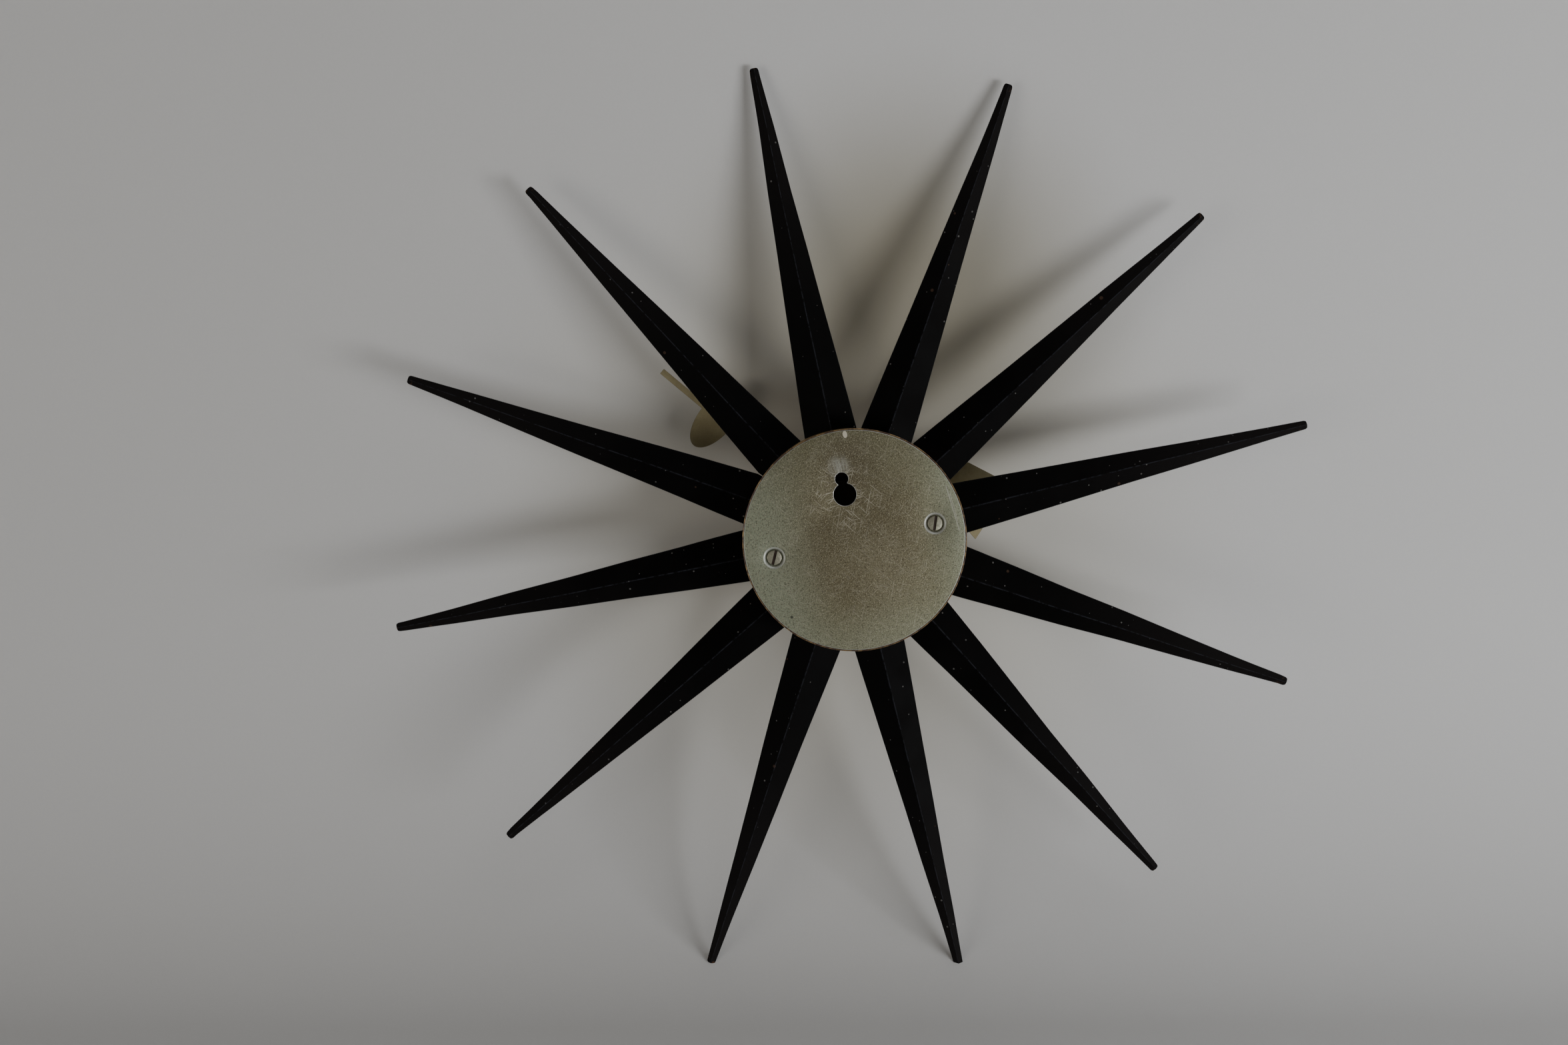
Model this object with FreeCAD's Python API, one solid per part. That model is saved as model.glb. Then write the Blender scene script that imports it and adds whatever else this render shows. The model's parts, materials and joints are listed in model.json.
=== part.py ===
import FreeCAD
import Part
import math
import os

# Sunburst wall clock, in millimetres.
# +Z points to 12 o'clock, the front faces -Y, and the origin is where the clock's axis
# meets the outer face of the back plate, which is the plane of the wall.
# A depth is the distance in front of that plane, so a point at depth d has y = -d.
# Angles in the face's plane run anticlockwise from +X, seen from the front.

Vec = FreeCAD.Vector
FORWARD = Vec(0, -1, 0)

# Overall sizes
TIP_TO_TIP = 470.0
DRUM_RIM_RADIUS = 55.0
DRUM_DEPTH = 44.0

# Drum
DRUM_WALL = 0.6
DRUM_FRONT_THICKNESS = 0.8
DRUM_TAPER_DEG = 3.0
DRUM_EDGE_RADIUS = 5.0
DRUM_RIM_SETBACK = 0.2

# Rays
RAY_COUNT = 12
RAY_DEPTH = 27.3
RAY_ROOT_HALF_WIDTH = 13.7
RAY_TIP_HALF_WIDTH = 2.44
RAY_ROOT_HALF_THICKNESS = 6.0
RAY_TIP_CHAMFER = 1.2
RAY_ROOT_GAP = 0.2
RAY_SCREW_RADIUS = 1.2
RAY_SCREW_LENGTH = 18.0
RAY_SCREW_HEAD_RADIUS = 2.6
RAY_SCREW_HEAD_HEIGHT = 1.6
# The rays were set by hand: how far each leans clockwise of its hour, from 1 to 12 o'clock
RAY_LEAN_DEG = [1.0, -1.5, -0.5, -0.5, 0.0, 2.0, 0.0, -1.0, 1.5, 0.5, -1.0, 0.0]

# Back plate, its posts and screws
PLATE_THICKNESS = 1.2
PLATE_RIM_GAP = 0.15
POST_RADIUS = 3.5
POST_SPACING_RADIUS = 40.2
DIMPLE_RADIUS = 4.9
DIMPLE_DEPTH = 1.6
PLATE_SCREW_RADIUS = 1.5
PLATE_SCREW_LENGTH = 9.0
PLATE_SCREW_HEAD_RADIUS = 3.65
PLATE_SCREW_HEAD_HEIGHT = 1.4
PLATE_SCREW_SLOT = 1.1
PLATE_SCREW_SLOT_DEPTH = 0.7
PLATE_SCREW_TURN_DEG = [-26.0, -19.0]
KEYHOLE_ENTRY_RADIUS = 5.55
KEYHOLE_ENTRY_HEIGHT = 23.2
KEYHOLE_SEAT_RADIUS = 3.2
KEYHOLE_SEAT_RISE = 7.8
KEYHOLE_NECK_WIDTH = 4.4

# Movement case and how the drum's front clamps it
CASE_WIDTH = 56.0
CASE_DEPTH = 17.0
CASE_WALL = 1.2
COVER_THICKNESS = 1.2
GASKET_THICKNESS = 0.5
GASKET_RADIUS = 9.0
BUSH_RADIUS = 4.0
WASHER_THICKNESS = 0.8
WASHER_RADIUS = 7.0
NUT_THICKNESS = 2.5
NUT_ACROSS_FLATS = 11.0
BUSH_STAND_OUT = 0.8

# Battery compartment
BATTERY_RADIUS = 7.1
BATTERY_LENGTH = 50.5
BATTERY_CAP_RADIUS = 2.7
BATTERY_CAP_LENGTH = 1.0
BATTERY_GAP = 0.3
CONTACT_THICKNESS = 0.4

# Arbors
RUNNING_CLEARANCE = 0.05
PIVOT_RADIUS = 0.4
PIVOT_CLEARANCE = 0.04
TRAIN_HEX_RADIUS = 0.55
END_SHAKE = 0.15
MINUTE_ARBOR_RADIUS = 1.5
MINUTE_HEX_RADIUS = 1.9
MINUTE_REAR_PIVOT_RADIUS = 0.5
MINUTE_FRONT_RADIUS = 1.25
HOUR_TUBE_RADIUS = 2.5
HOUR_HEX_RADIUS = 3.2
MOTION_ARBOR_RADIUS = 0.6
MOTION_HEX_RADIUS = 0.9

# Gears: teeth and modules
PRESSURE_ANGLE_DEG = 20.0
ADDENDUM = 0.85
DEDENDUM = 1.25
BACKLASH = 0.14
CANNON_TEETH = 14
MOTION_WHEEL_TEETH = 42
MOTION_PINION_TEETH = 12
HOUR_WHEEL_TEETH = 48
SET_TEETH = 14
MOTION_DISTANCE = 12.0
TRAIN_PINION_TEETH = 12
INTERMEDIATE_TEETH = 72
SECOND_TEETH = 60
THIRD_TEETH = 96
CENTRE_TEETH = 90
ROTOR_MODULE = 0.18
INTERMEDIATE_MODULE = 0.22
SECOND_MODULE = 0.20
THIRD_MODULE = 0.22
WHEEL_THICKNESS = 0.8

# Directions between the gear centres
MOTION_DIRECTION_DEG = 150.0
SET_DIRECTION_DEG = 110.0
THIRD_DIRECTION_DEG = 35.0
SECOND_DIRECTION_DEG = 100.0
INTERMEDIATE_DIRECTION_DEG = 190.0
ROTOR_DIRECTION_DEG = 200.0

# Stepping motor and its circuit
MAGNET_RADIUS = 3.0
MAGNET_THICKNESS = 1.4
STATOR_THICKNESS = 0.6
STATOR_GAP = 0.6
STATOR_ARM = 4.0
COIL_WIDTH = 7.0
COIL_THICKNESS = 3.2
COIL_LENGTH = 18.0
BOARD_THICKNESS = 0.8
BOARD_WIDTH = 13.0
BOARD_HEIGHT = 30.0
CRYSTAL_RADIUS = 1.0
CRYSTAL_LENGTH = 6.0

# Set knob
KNOB_RADIUS = 5.0
KNOB_THICKNESS = 4.0
KNOB_GAP = 0.6
SET_ARBOR_RADIUS = 1.0
SET_HEX_RADIUS = 1.4

# Hands
HAND_THICKNESS = 0.5
HAND_GAP = 3.5
HOUR_HAND_STAND_OFF = 3.7
MINUTE_TIP = 126.5
MINUTE_STICK_WIDTH = 3.1
MINUTE_ELLIPSE_PLACE = 89.5
MINUTE_ELLIPSE_HALF_LENGTH = 19.0
MINUTE_ELLIPSE_HALF_WIDTH = 9.07
HOUR_STICK_WIDTH = 3.4
HOUR_TIP = 86.3
HOUR_KITE_PLACE = 61.7
HOUR_KITE_HALF_WIDTH = 23.0
HOUR_KITE_NOTCH = 50.6
HAND_HUB_RADIUS = 5.0
HAND_NUT_RADIUS = 3.0
HAND_NUT_HEIGHT = 2.4
HAND_NUT_DEPTH = 1.6
MINUTE_ANGLE_DEG = 37.9
HOUR_ANGLE_DEG = 273.2

# Depths, from the wall forwards
DRUM_INNER_DEPTH = DRUM_DEPTH - DRUM_FRONT_THICKNESS
CASE_FRONT = DRUM_INNER_DEPTH - GASKET_THICKNESS
CASE_BACK = CASE_FRONT - CASE_DEPTH
CASE_INNER_FRONT = CASE_FRONT - CASE_WALL
CASE_INNER_BACK = CASE_BACK + COVER_THICKNESS
BUSH_FRONT = DRUM_DEPTH + WASHER_THICKNESS + NUT_THICKNESS + BUSH_STAND_OUT
HOUR_LAYER = CASE_INNER_FRONT - 1.5
MOTION_LAYER = HOUR_LAYER - 1.6
BRIDGE_FRONT = MOTION_LAYER - 0.4
BRIDGE_THICKNESS = 0.5
CENTRE_LAYER = BRIDGE_FRONT - BRIDGE_THICKNESS - 1.0
THIRD_LAYER = CENTRE_LAYER - 2.0
SECOND_LAYER = THIRD_LAYER - 1.8
INTERMEDIATE_LAYER = SECOND_LAYER - 1.8
MAGNET_BACK = CASE_INNER_BACK + 1.0
HOUR_HAND_BACK = BUSH_FRONT + HOUR_HAND_STAND_OFF + 1.0
MINUTE_HAND_BACK = HOUR_HAND_BACK + HAND_THICKNESS + HAND_GAP


def place(angle_deg, radius, centre=(0.0, 0.0)):
    """The point at an angle and distance from a centre, in the face's plane."""
    angle = math.radians(angle_deg)
    return (centre[0] + radius * math.cos(angle), centre[1] + radius * math.sin(angle))


def at(point, depth):
    """A point of the face's plane, moved to a depth in front of the wall."""
    return Vec(point[0], -depth, point[1])


def disc(centre, radius, back, front):
    """A solid round bar along the clock's axis, between two depths."""
    return Part.makeCylinder(radius, front - back, at(centre, back), FORWARD)


def drilled(shape, centre, radius, back, front):
    """The shape with a round hole along the clock's axis through the depths given."""
    return shape.cut(disc(centre, radius, back - 1.0, front + 1.0))


def block(x0, x1, z0, z1, back, front):
    """A box between two values of x, two of z and two depths."""
    return Part.makeBox(x1 - x0, front - back, z1 - z0, Vec(x0, -front, z0))


def polygon_face(points, depth):
    """A flat face through points of the face's plane, at a depth."""
    corners = [at(point, depth) for point in points]
    return Part.Face(Part.makePolygon(corners + [corners[0]]))


def prism(points, back, front, hole=None):
    """A flat-sided bar with the given outline, and a hole of another outline."""
    face = polygon_face(points, back)
    if hole:
        face = face.cut(polygon_face(hole, back))
    return face.extrude(FORWARD * (front - back)).Solids[0]


def regular(centre, radius, sides, turn_deg=0.0):
    """The corners of a regular polygon."""
    return [place(turn_deg + 360.0 * k / sides, radius, centre) for k in range(sides)]


def turned(profile, centre=(0.0, 0.0)):
    """A turned piece from a profile of (radius, depth, corner radius) points."""
    points = [Vec(radius, -depth, 0) for radius, depth, corner in profile]
    count = len(profile)
    starts, ends, edges = [], [], []
    for k in range(count):
        corner = profile[k][2]
        back = (points[k - 1] - points[k]).normalize()
        ahead = (points[(k + 1) % count] - points[k]).normalize()
        half = back.getAngle(ahead) / 2.0
        reach = corner / math.tan(half) if corner > 0 else 0.0
        starts.append(points[k] + back * reach)
        ends.append(points[k] + ahead * reach)
        if corner > 0:
            middle = (back + ahead).normalize() * (corner / math.sin(half) - corner)
            edges.append(Part.Arc(starts[k], points[k] + middle, ends[k]).toShape())
    for k in range(count):
        after = (k + 1) % count
        edges.append(Part.LineSegment(ends[k], starts[after]).toShape())
    wire = Part.Wire(Part.__sortEdges__(edges))
    solid = Part.Face(wire).revolve(Vec(0, 0, 0), Vec(0, 1, 0), 360)
    return solid.translated(at(centre, 0.0))


def gear_points(centre, module, teeth, phase_deg):
    """Tooth outline: root, base, pitch and tip points on each involute flank."""
    pitch_radius = module * teeth / 2.0
    base_radius = pitch_radius * math.cos(math.radians(PRESSURE_ANGLE_DEG))
    root_radius = pitch_radius - DEDENDUM * module
    tip_radius = pitch_radius + ADDENDUM * module

    def involute(radius):
        if radius <= base_radius:
            return 0.0
        alpha = math.acos(base_radius / radius)
        return math.tan(alpha) - alpha

    half_pitch = (math.pi * module / 2.0 - BACKLASH * module) / (2.0 * pitch_radius)
    radii = [root_radius, max(base_radius, root_radius + 0.1 * module)]
    radii += [pitch_radius, (pitch_radius + tip_radius) / 2.0, tip_radius]
    halves = [half_pitch + involute(pitch_radius) - involute(radius) for radius in radii]
    points = []
    for tooth in range(teeth):
        middle = phase_deg + 360.0 * tooth / teeth
        for radius, half in zip(radii, halves):
            points.append(place(middle - math.degrees(half), radius, centre))
        for radius, half in zip(reversed(radii), reversed(halves)):
            points.append(place(middle + math.degrees(half), radius, centre))
    return points


def meshing_phase(phase_deg, teeth, direction_deg, other_teeth):
    """The tooth angle of a gear that meshes with another in a given direction."""
    share = (direction_deg - phase_deg) * teeth / 360.0
    return direction_deg + 180.0 - (0.5 - share) * 360.0 / other_teeth


def wheel_and_pinion(centre, wheel, pinion, hex_radius, wheel_depth, pinion_end):
    """A wheel with a longer pinion in front of it or behind it, on one hexagon bore."""
    bore = regular(centre, hex_radius, 6)
    wheel_front = wheel_depth + WHEEL_THICKNESS
    body = prism(gear_points(centre, *wheel), wheel_depth, wheel_front, bore)
    if pinion_end > wheel_front:
        leaves = prism(gear_points(centre, *pinion), wheel_front, pinion_end, bore)
    else:
        leaves = prism(gear_points(centre, *pinion), pinion_end, wheel_depth, bore)
    return body.fuse(leaves)


def train_arbor(centre, front_end):
    """A thin arbor with a hexagon seat between the cover and the bridge."""
    hex_back = CASE_INNER_BACK + END_SHAKE
    hex_front = BRIDGE_FRONT - BRIDGE_THICKNESS - END_SHAKE
    seat = prism(regular(centre, TRAIN_HEX_RADIUS, 6), hex_back, hex_front)
    back = disc(centre, PIVOT_RADIUS, CASE_BACK + END_SHAKE, hex_back)
    front = disc(centre, PIVOT_RADIUS, hex_front, front_end)
    return seat.fuse(back).fuse(front)


def solid_through(sections):
    """A closed solid with flat sides through rings that have the same number of points."""
    faces = []
    for ring in (sections[0], sections[-1]):
        faces.append(Part.Face(Part.makePolygon(ring + [ring[0]])))
    for lower, upper in zip(sections, sections[1:]):
        for k in range(len(lower)):
            after = (k + 1) % len(lower)
            corners = [lower[k], lower[after], upper[after], upper[k]]
            faces.append(Part.Face(Part.makePolygon(corners + [corners[0]])))
    solid = Part.makeSolid(Part.makeShell(faces))
    return solid if solid.Volume > 0 else solid.reversed()


# ---- the drum ----

def drum_radius(depth):
    """The drum's outer radius at a depth: it narrows towards the front."""
    return DRUM_RIM_RADIUS - (depth - DRUM_RIM_SETBACK) * math.tan(math.radians(DRUM_TAPER_DEG))


def drum_outer():
    """The drum's outer shape, filled."""
    return turned([
        (0.0, DRUM_RIM_SETBACK, 0.0),
        (DRUM_RIM_RADIUS, DRUM_RIM_SETBACK, 0.0),
        (drum_radius(DRUM_DEPTH), DRUM_DEPTH, DRUM_EDGE_RADIUS),
        (0.0, DRUM_DEPTH, 0.0),
    ])


def drum_inner():
    """The hollow inside the drum."""
    return turned([
        (0.0, DRUM_RIM_SETBACK - 1.0, 0.0),
        (drum_radius(DRUM_RIM_SETBACK - 1.0) - DRUM_WALL, DRUM_RIM_SETBACK - 1.0, 0.0),
        (drum_radius(DRUM_INNER_DEPTH) - DRUM_WALL, DRUM_INNER_DEPTH, DRUM_EDGE_RADIUS - DRUM_WALL),
        (0.0, DRUM_INNER_DEPTH, 0.0),
    ])


def ray_angle(hour):
    """The direction of an hour's ray, anticlockwise from +X."""
    return 90.0 - 360.0 * hour / RAY_COUNT - RAY_LEAN_DEG[hour - 1]


def along_ray(angle_deg, out, across, depth):
    """A point given by its distance out along a ray, across it, and its depth."""
    angle = math.radians(angle_deg)
    x = out * math.cos(angle) - across * math.sin(angle)
    z = out * math.sin(angle) + across * math.cos(angle)
    return Vec(x, -depth, z)


def ray_screw_hole(angle_deg, radius, start, length):
    """A round bar along a ray's centre line."""
    angle = math.radians(angle_deg)
    return Part.makeCylinder(radius, length, along_ray(angle_deg, start, 0.0, RAY_DEPTH),
                             Vec(math.cos(angle), 0, math.sin(angle)))


def make_hub_cup(outer, inner):
    cup = outer.cut(inner)
    cup = drilled(cup, (0, 0), BUSH_RADIUS + RUNNING_CLEARANCE, DRUM_INNER_DEPTH, DRUM_DEPTH)
    for hour in range(1, RAY_COUNT + 1):
        start = drum_radius(RAY_DEPTH) - 5.0
        cup = cup.cut(ray_screw_hole(ray_angle(hour), RAY_SCREW_RADIUS + 0.1, start, 10.0))
    return cup


def ray_ring(angle_deg, out, scale):
    """The diamond section of a ray at a distance from the clock's axis."""
    half_width = RAY_ROOT_HALF_WIDTH * scale
    half_thickness = RAY_ROOT_HALF_THICKNESS * scale
    return [
        along_ray(angle_deg, out, half_width, RAY_DEPTH),
        along_ray(angle_deg, out, 0.0, RAY_DEPTH + half_thickness),
        along_ray(angle_deg, out, -half_width, RAY_DEPTH),
        along_ray(angle_deg, out, 0.0, RAY_DEPTH - half_thickness),
    ]


def make_ray(hour, outer):
    """One ray: a tapering diamond bar, hollowed at the root to sit on the drum."""
    angle = ray_angle(hour)
    root = drum_radius(RAY_DEPTH)
    tip = TIP_TO_TIP / 2.0
    chamfer_start = tip - RAY_TIP_CHAMFER
    tip_scale = RAY_TIP_HALF_WIDTH / RAY_ROOT_HALF_WIDTH
    slope = (1.0 - tip_scale) / (tip - root)
    inside = root * math.cos(math.pi / RAY_COUNT) - RAY_ROOT_HALF_WIDTH * 0.3
    ray = solid_through([
        ray_ring(angle, inside, 1.0 + slope * (root - inside)),
        ray_ring(angle, chamfer_start, tip_scale + slope * RAY_TIP_CHAMFER),
        ray_ring(angle, tip, tip_scale - (RAY_TIP_CHAMFER - 0.2) / RAY_ROOT_HALF_WIDTH),
    ])
    before = ray_angle(hour % RAY_COUNT + 1)
    after = ray_angle((hour - 2) % RAY_COUNT + 1)
    for neighbour, side in ((before, -1), (after, 1)):
        turn = abs((neighbour - angle + 180.0) % 360.0 - 180.0) / 2.0
        limit = angle + side * turn
        sideways = Vec(-math.sin(math.radians(limit)) * side, 0, math.cos(math.radians(limit)) * side)
        corner = sideways * (-RAY_ROOT_GAP / 2.0)
        far = along_ray(limit, tip, 0.0, 0.0)
        outward = sideways * tip
        ring = [corner, corner + far, corner + far + outward, corner + outward]
        wedge = Part.Face(Part.makePolygon(ring + [ring[0]])).extrude(FORWARD * (DRUM_DEPTH * 2.0))
        ray = ray.cut(wedge)
    ray = ray.cut(outer)
    hole_start = root - 5.0
    ray = ray.cut(ray_screw_hole(angle, RAY_SCREW_RADIUS, hole_start, RAY_SCREW_LENGTH + 6.0))
    return ray.Solids[0]


def make_ray_screws(inner):
    """Twelve screws from inside the drum, heads seated on its wall."""
    screws = []
    wall_inside = drum_radius(RAY_DEPTH) - DRUM_WALL
    for hour in range(1, RAY_COUNT + 1):
        angle = ray_angle(hour)
        head = ray_screw_hole(angle, RAY_SCREW_HEAD_RADIUS, wall_inside - RAY_SCREW_HEAD_HEIGHT,
                              RAY_SCREW_HEAD_HEIGHT + 0.5).common(inner)
        shank = ray_screw_hole(angle, RAY_SCREW_RADIUS, wall_inside - RAY_SCREW_HEAD_HEIGHT / 2.0,
                               RAY_SCREW_LENGTH)
        screws.append(head.fuse(shank))
    return Part.makeCompound(screws)


# ---- the back plate ----

def screw_places():
    return [place(180.0, POST_SPACING_RADIUS), place(0.0, POST_SPACING_RADIUS)]


def make_back_plate():
    radius = DRUM_RIM_RADIUS - DRUM_WALL - PLATE_RIM_GAP
    plate = disc((0, 0), radius, 0.0, PLATE_THICKNESS)
    for centre in screw_places():
        floor = DIMPLE_DEPTH + PLATE_THICKNESS
        plate = plate.fuse(turned([
            (0.0, PLATE_THICKNESS / 2.0, 0.0),
            (DIMPLE_RADIUS + PLATE_THICKNESS / 2.0, PLATE_THICKNESS / 2.0, 0.0),
            (DIMPLE_RADIUS, floor, 0.0),
            (0.0, floor, 0.0),
        ], centre))
        plate = plate.cut(turned([
            (0.0, -1.0, 0.0),
            (DIMPLE_RADIUS, -1.0, 0.0),
            (DIMPLE_RADIUS, 0.0, 0.0),
            (PLATE_SCREW_HEAD_RADIUS + 0.25, DIMPLE_DEPTH, 0.0),
            (0.0, DIMPLE_DEPTH, 0.0),
        ], centre))
        plate = plate.cut(disc(centre, PLATE_SCREW_RADIUS + 0.1, 0.0, floor + 1.0))
    entry = disc((0, KEYHOLE_ENTRY_HEIGHT), KEYHOLE_ENTRY_RADIUS, -1.0, PLATE_THICKNESS + 1.0)
    seat_height = KEYHOLE_ENTRY_HEIGHT + KEYHOLE_SEAT_RISE
    seat = disc((0, seat_height), KEYHOLE_SEAT_RADIUS, -1.0, PLATE_THICKNESS + 1.0)
    neck = block(-KEYHOLE_NECK_WIDTH / 2.0, KEYHOLE_NECK_WIDTH / 2.0, KEYHOLE_ENTRY_HEIGHT,
                 seat_height, -1.0, PLATE_THICKNESS + 1.0)
    return plate.cut(entry).cut(seat).cut(neck)


def make_plate_posts():
    posts = []
    for centre in screw_places():
        back = DIMPLE_DEPTH + PLATE_THICKNESS
        post = disc(centre, POST_RADIUS, back, DRUM_INNER_DEPTH)
        post = drilled(post, centre, PLATE_SCREW_RADIUS, back, DIMPLE_DEPTH + PLATE_SCREW_LENGTH)
        posts.append(post)
    return Part.makeCompound(posts)


def make_plate_screws():
    screws = []
    for centre, turn in zip(screw_places(), PLATE_SCREW_TURN_DEG):
        top = DIMPLE_DEPTH - PLATE_SCREW_HEAD_HEIGHT
        screw = turned([
            (0.0, top, 0.0),
            (PLATE_SCREW_HEAD_RADIUS, top, 0.3),
            (PLATE_SCREW_HEAD_RADIUS, DIMPLE_DEPTH, 0.0),
            (PLATE_SCREW_RADIUS, DIMPLE_DEPTH, 0.0),
            (PLATE_SCREW_RADIUS, DIMPLE_DEPTH + PLATE_SCREW_LENGTH, 0.0),
            (0.0, DIMPLE_DEPTH + PLATE_SCREW_LENGTH, 0.0),
        ], centre)
        slot = block(-PLATE_SCREW_SLOT / 2.0, PLATE_SCREW_SLOT / 2.0, -PLATE_SCREW_HEAD_RADIUS * 2.0,
                     PLATE_SCREW_HEAD_RADIUS * 2.0, top - 1.0, top + PLATE_SCREW_SLOT_DEPTH)
        slot.rotate(Vec(0, 0, 0), Vec(0, 1, 0), turn)
        slot.translate(at(centre, 0.0))
        screws.append(screw.cut(slot))
    return Part.makeCompound(screws)


# ---- gear centres and tooth angles ----

MOTION_MODULE = 2.0 * MOTION_DISTANCE / (CANNON_TEETH + MOTION_WHEEL_TEETH)
HOUR_MODULE = 2.0 * MOTION_DISTANCE / (MOTION_PINION_TEETH + HOUR_WHEEL_TEETH)
AXIS = (0.0, 0.0)
MOTION_CENTRE = place(MOTION_DIRECTION_DEG, MOTION_DISTANCE)
SET_DISTANCE = MOTION_MODULE * (MOTION_WHEEL_TEETH + SET_TEETH) / 2.0
SET_CENTRE = place(SET_DIRECTION_DEG, SET_DISTANCE, MOTION_CENTRE)
THIRD_DISTANCE = THIRD_MODULE * (CENTRE_TEETH + TRAIN_PINION_TEETH) / 2.0
THIRD_CENTRE = place(THIRD_DIRECTION_DEG, THIRD_DISTANCE)
SECOND_DISTANCE = SECOND_MODULE * (THIRD_TEETH + TRAIN_PINION_TEETH) / 2.0
SECOND_CENTRE = place(SECOND_DIRECTION_DEG, SECOND_DISTANCE, THIRD_CENTRE)
INTERMEDIATE_DISTANCE = INTERMEDIATE_MODULE * (SECOND_TEETH + TRAIN_PINION_TEETH) / 2.0
INTERMEDIATE_CENTRE = place(INTERMEDIATE_DIRECTION_DEG, INTERMEDIATE_DISTANCE, SECOND_CENTRE)
ROTOR_DISTANCE = ROTOR_MODULE * (INTERMEDIATE_TEETH + TRAIN_PINION_TEETH) / 2.0
ROTOR_CENTRE = place(ROTOR_DIRECTION_DEG, ROTOR_DISTANCE, INTERMEDIATE_CENTRE)

MOTION_PHASE = meshing_phase(0.0, CANNON_TEETH, MOTION_DIRECTION_DEG, MOTION_WHEEL_TEETH)
HOUR_PHASE = meshing_phase(0.0, MOTION_PINION_TEETH, MOTION_DIRECTION_DEG + 180.0, HOUR_WHEEL_TEETH)
SET_PHASE = meshing_phase(MOTION_PHASE, MOTION_WHEEL_TEETH, SET_DIRECTION_DEG, SET_TEETH)
THIRD_PINION_PHASE = meshing_phase(0.0, CENTRE_TEETH, THIRD_DIRECTION_DEG, TRAIN_PINION_TEETH)
SECOND_PINION_PHASE = meshing_phase(0.0, THIRD_TEETH, SECOND_DIRECTION_DEG, TRAIN_PINION_TEETH)
INTERMEDIATE_PINION_PHASE = meshing_phase(0.0, SECOND_TEETH, INTERMEDIATE_DIRECTION_DEG,
                                          TRAIN_PINION_TEETH)
ROTOR_PINION_PHASE = meshing_phase(0.0, INTERMEDIATE_TEETH, ROTOR_DIRECTION_DEG, TRAIN_PINION_TEETH)

COVER_EDGE = -(CASE_WIDTH / 2.0 - CASE_WALL - 2.0 * BATTERY_RADIUS - 2.0 * BATTERY_GAP)
BATTERY_HEIGHT = -(CASE_WIDTH / 2.0 - CASE_WALL - BATTERY_RADIUS - BATTERY_GAP)


# ---- the movement ----

def make_movement_case():
    half = CASE_WIDTH / 2.0
    inner = half - CASE_WALL
    case = block(-half, half, -half, half, CASE_INNER_BACK, CASE_FRONT)
    case = case.cut(block(-inner, inner, -inner, COVER_EDGE, CASE_INNER_BACK - 1.0, CASE_INNER_FRONT))
    train_floor = COVER_EDGE + CASE_WALL
    case = case.cut(block(-inner, inner, train_floor, inner, CASE_INNER_BACK - 1.0, CASE_INNER_FRONT))
    case = case.fuse(disc(AXIS, BUSH_RADIUS, CASE_FRONT - 0.5, BUSH_FRONT))
    case = drilled(case, AXIS, HOUR_TUBE_RADIUS + RUNNING_CLEARANCE, CASE_INNER_FRONT, BUSH_FRONT)
    for centre, radius in ((MOTION_CENTRE, MOTION_ARBOR_RADIUS), (SET_CENTRE, SET_ARBOR_RADIUS)):
        case = case.cut(disc(centre, radius + PIVOT_CLEARANCE, CASE_INNER_FRONT - 1.0, CASE_FRONT - 0.3))
    return case


def bridge_pivots():
    return [THIRD_CENTRE, SECOND_CENTRE, INTERMEDIATE_CENTRE, ROTOR_CENTRE]


def make_movement_cover():
    half = CASE_WIDTH / 2.0
    cover = block(-half, half, COVER_EDGE, half, CASE_BACK, CASE_INNER_BACK)
    holes = [(centre, PIVOT_RADIUS) for centre in bridge_pivots()]
    holes += [(AXIS, MINUTE_REAR_PIVOT_RADIUS), (SET_CENTRE, SET_ARBOR_RADIUS)]
    for centre, radius in holes:
        cover = drilled(cover, centre, radius + PIVOT_CLEARANCE, CASE_BACK, CASE_INNER_BACK)
    return cover


def make_train_bridge():
    """The plate between the going train and the motion works, held by the case's side walls."""
    inner = CASE_WIDTH / 2.0 - CASE_WALL
    back = BRIDGE_FRONT - BRIDGE_THICKNESS
    bridge = block(-inner, inner, COVER_EDGE + CASE_WALL, inner, back, BRIDGE_FRONT)
    holes = [(centre, PIVOT_RADIUS + PIVOT_CLEARANCE) for centre in bridge_pivots()]
    holes += [
        (MOTION_CENTRE, MOTION_ARBOR_RADIUS + PIVOT_CLEARANCE),
        (AXIS, MINUTE_ARBOR_RADIUS + RUNNING_CLEARANCE),
        (SET_CENTRE, SET_ARBOR_RADIUS + 0.4),
    ]
    for centre, radius in holes:
        bridge = drilled(bridge, centre, radius, back, BRIDGE_FRONT)
    return bridge


def along_x(x0, x1, radius, height, depth):
    return Part.makeCylinder(radius, x1 - x0, Vec(x0, -depth, height), Vec(1, 0, 0))


def make_battery(middle_depth):
    half = BATTERY_LENGTH / 2.0
    body = along_x(-half, half - BATTERY_CAP_LENGTH, BATTERY_RADIUS, BATTERY_HEIGHT, middle_depth)
    cap = along_x(half - BATTERY_CAP_LENGTH, half, BATTERY_CAP_RADIUS, BATTERY_HEIGHT, middle_depth)
    return body.fuse(cap)


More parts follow.
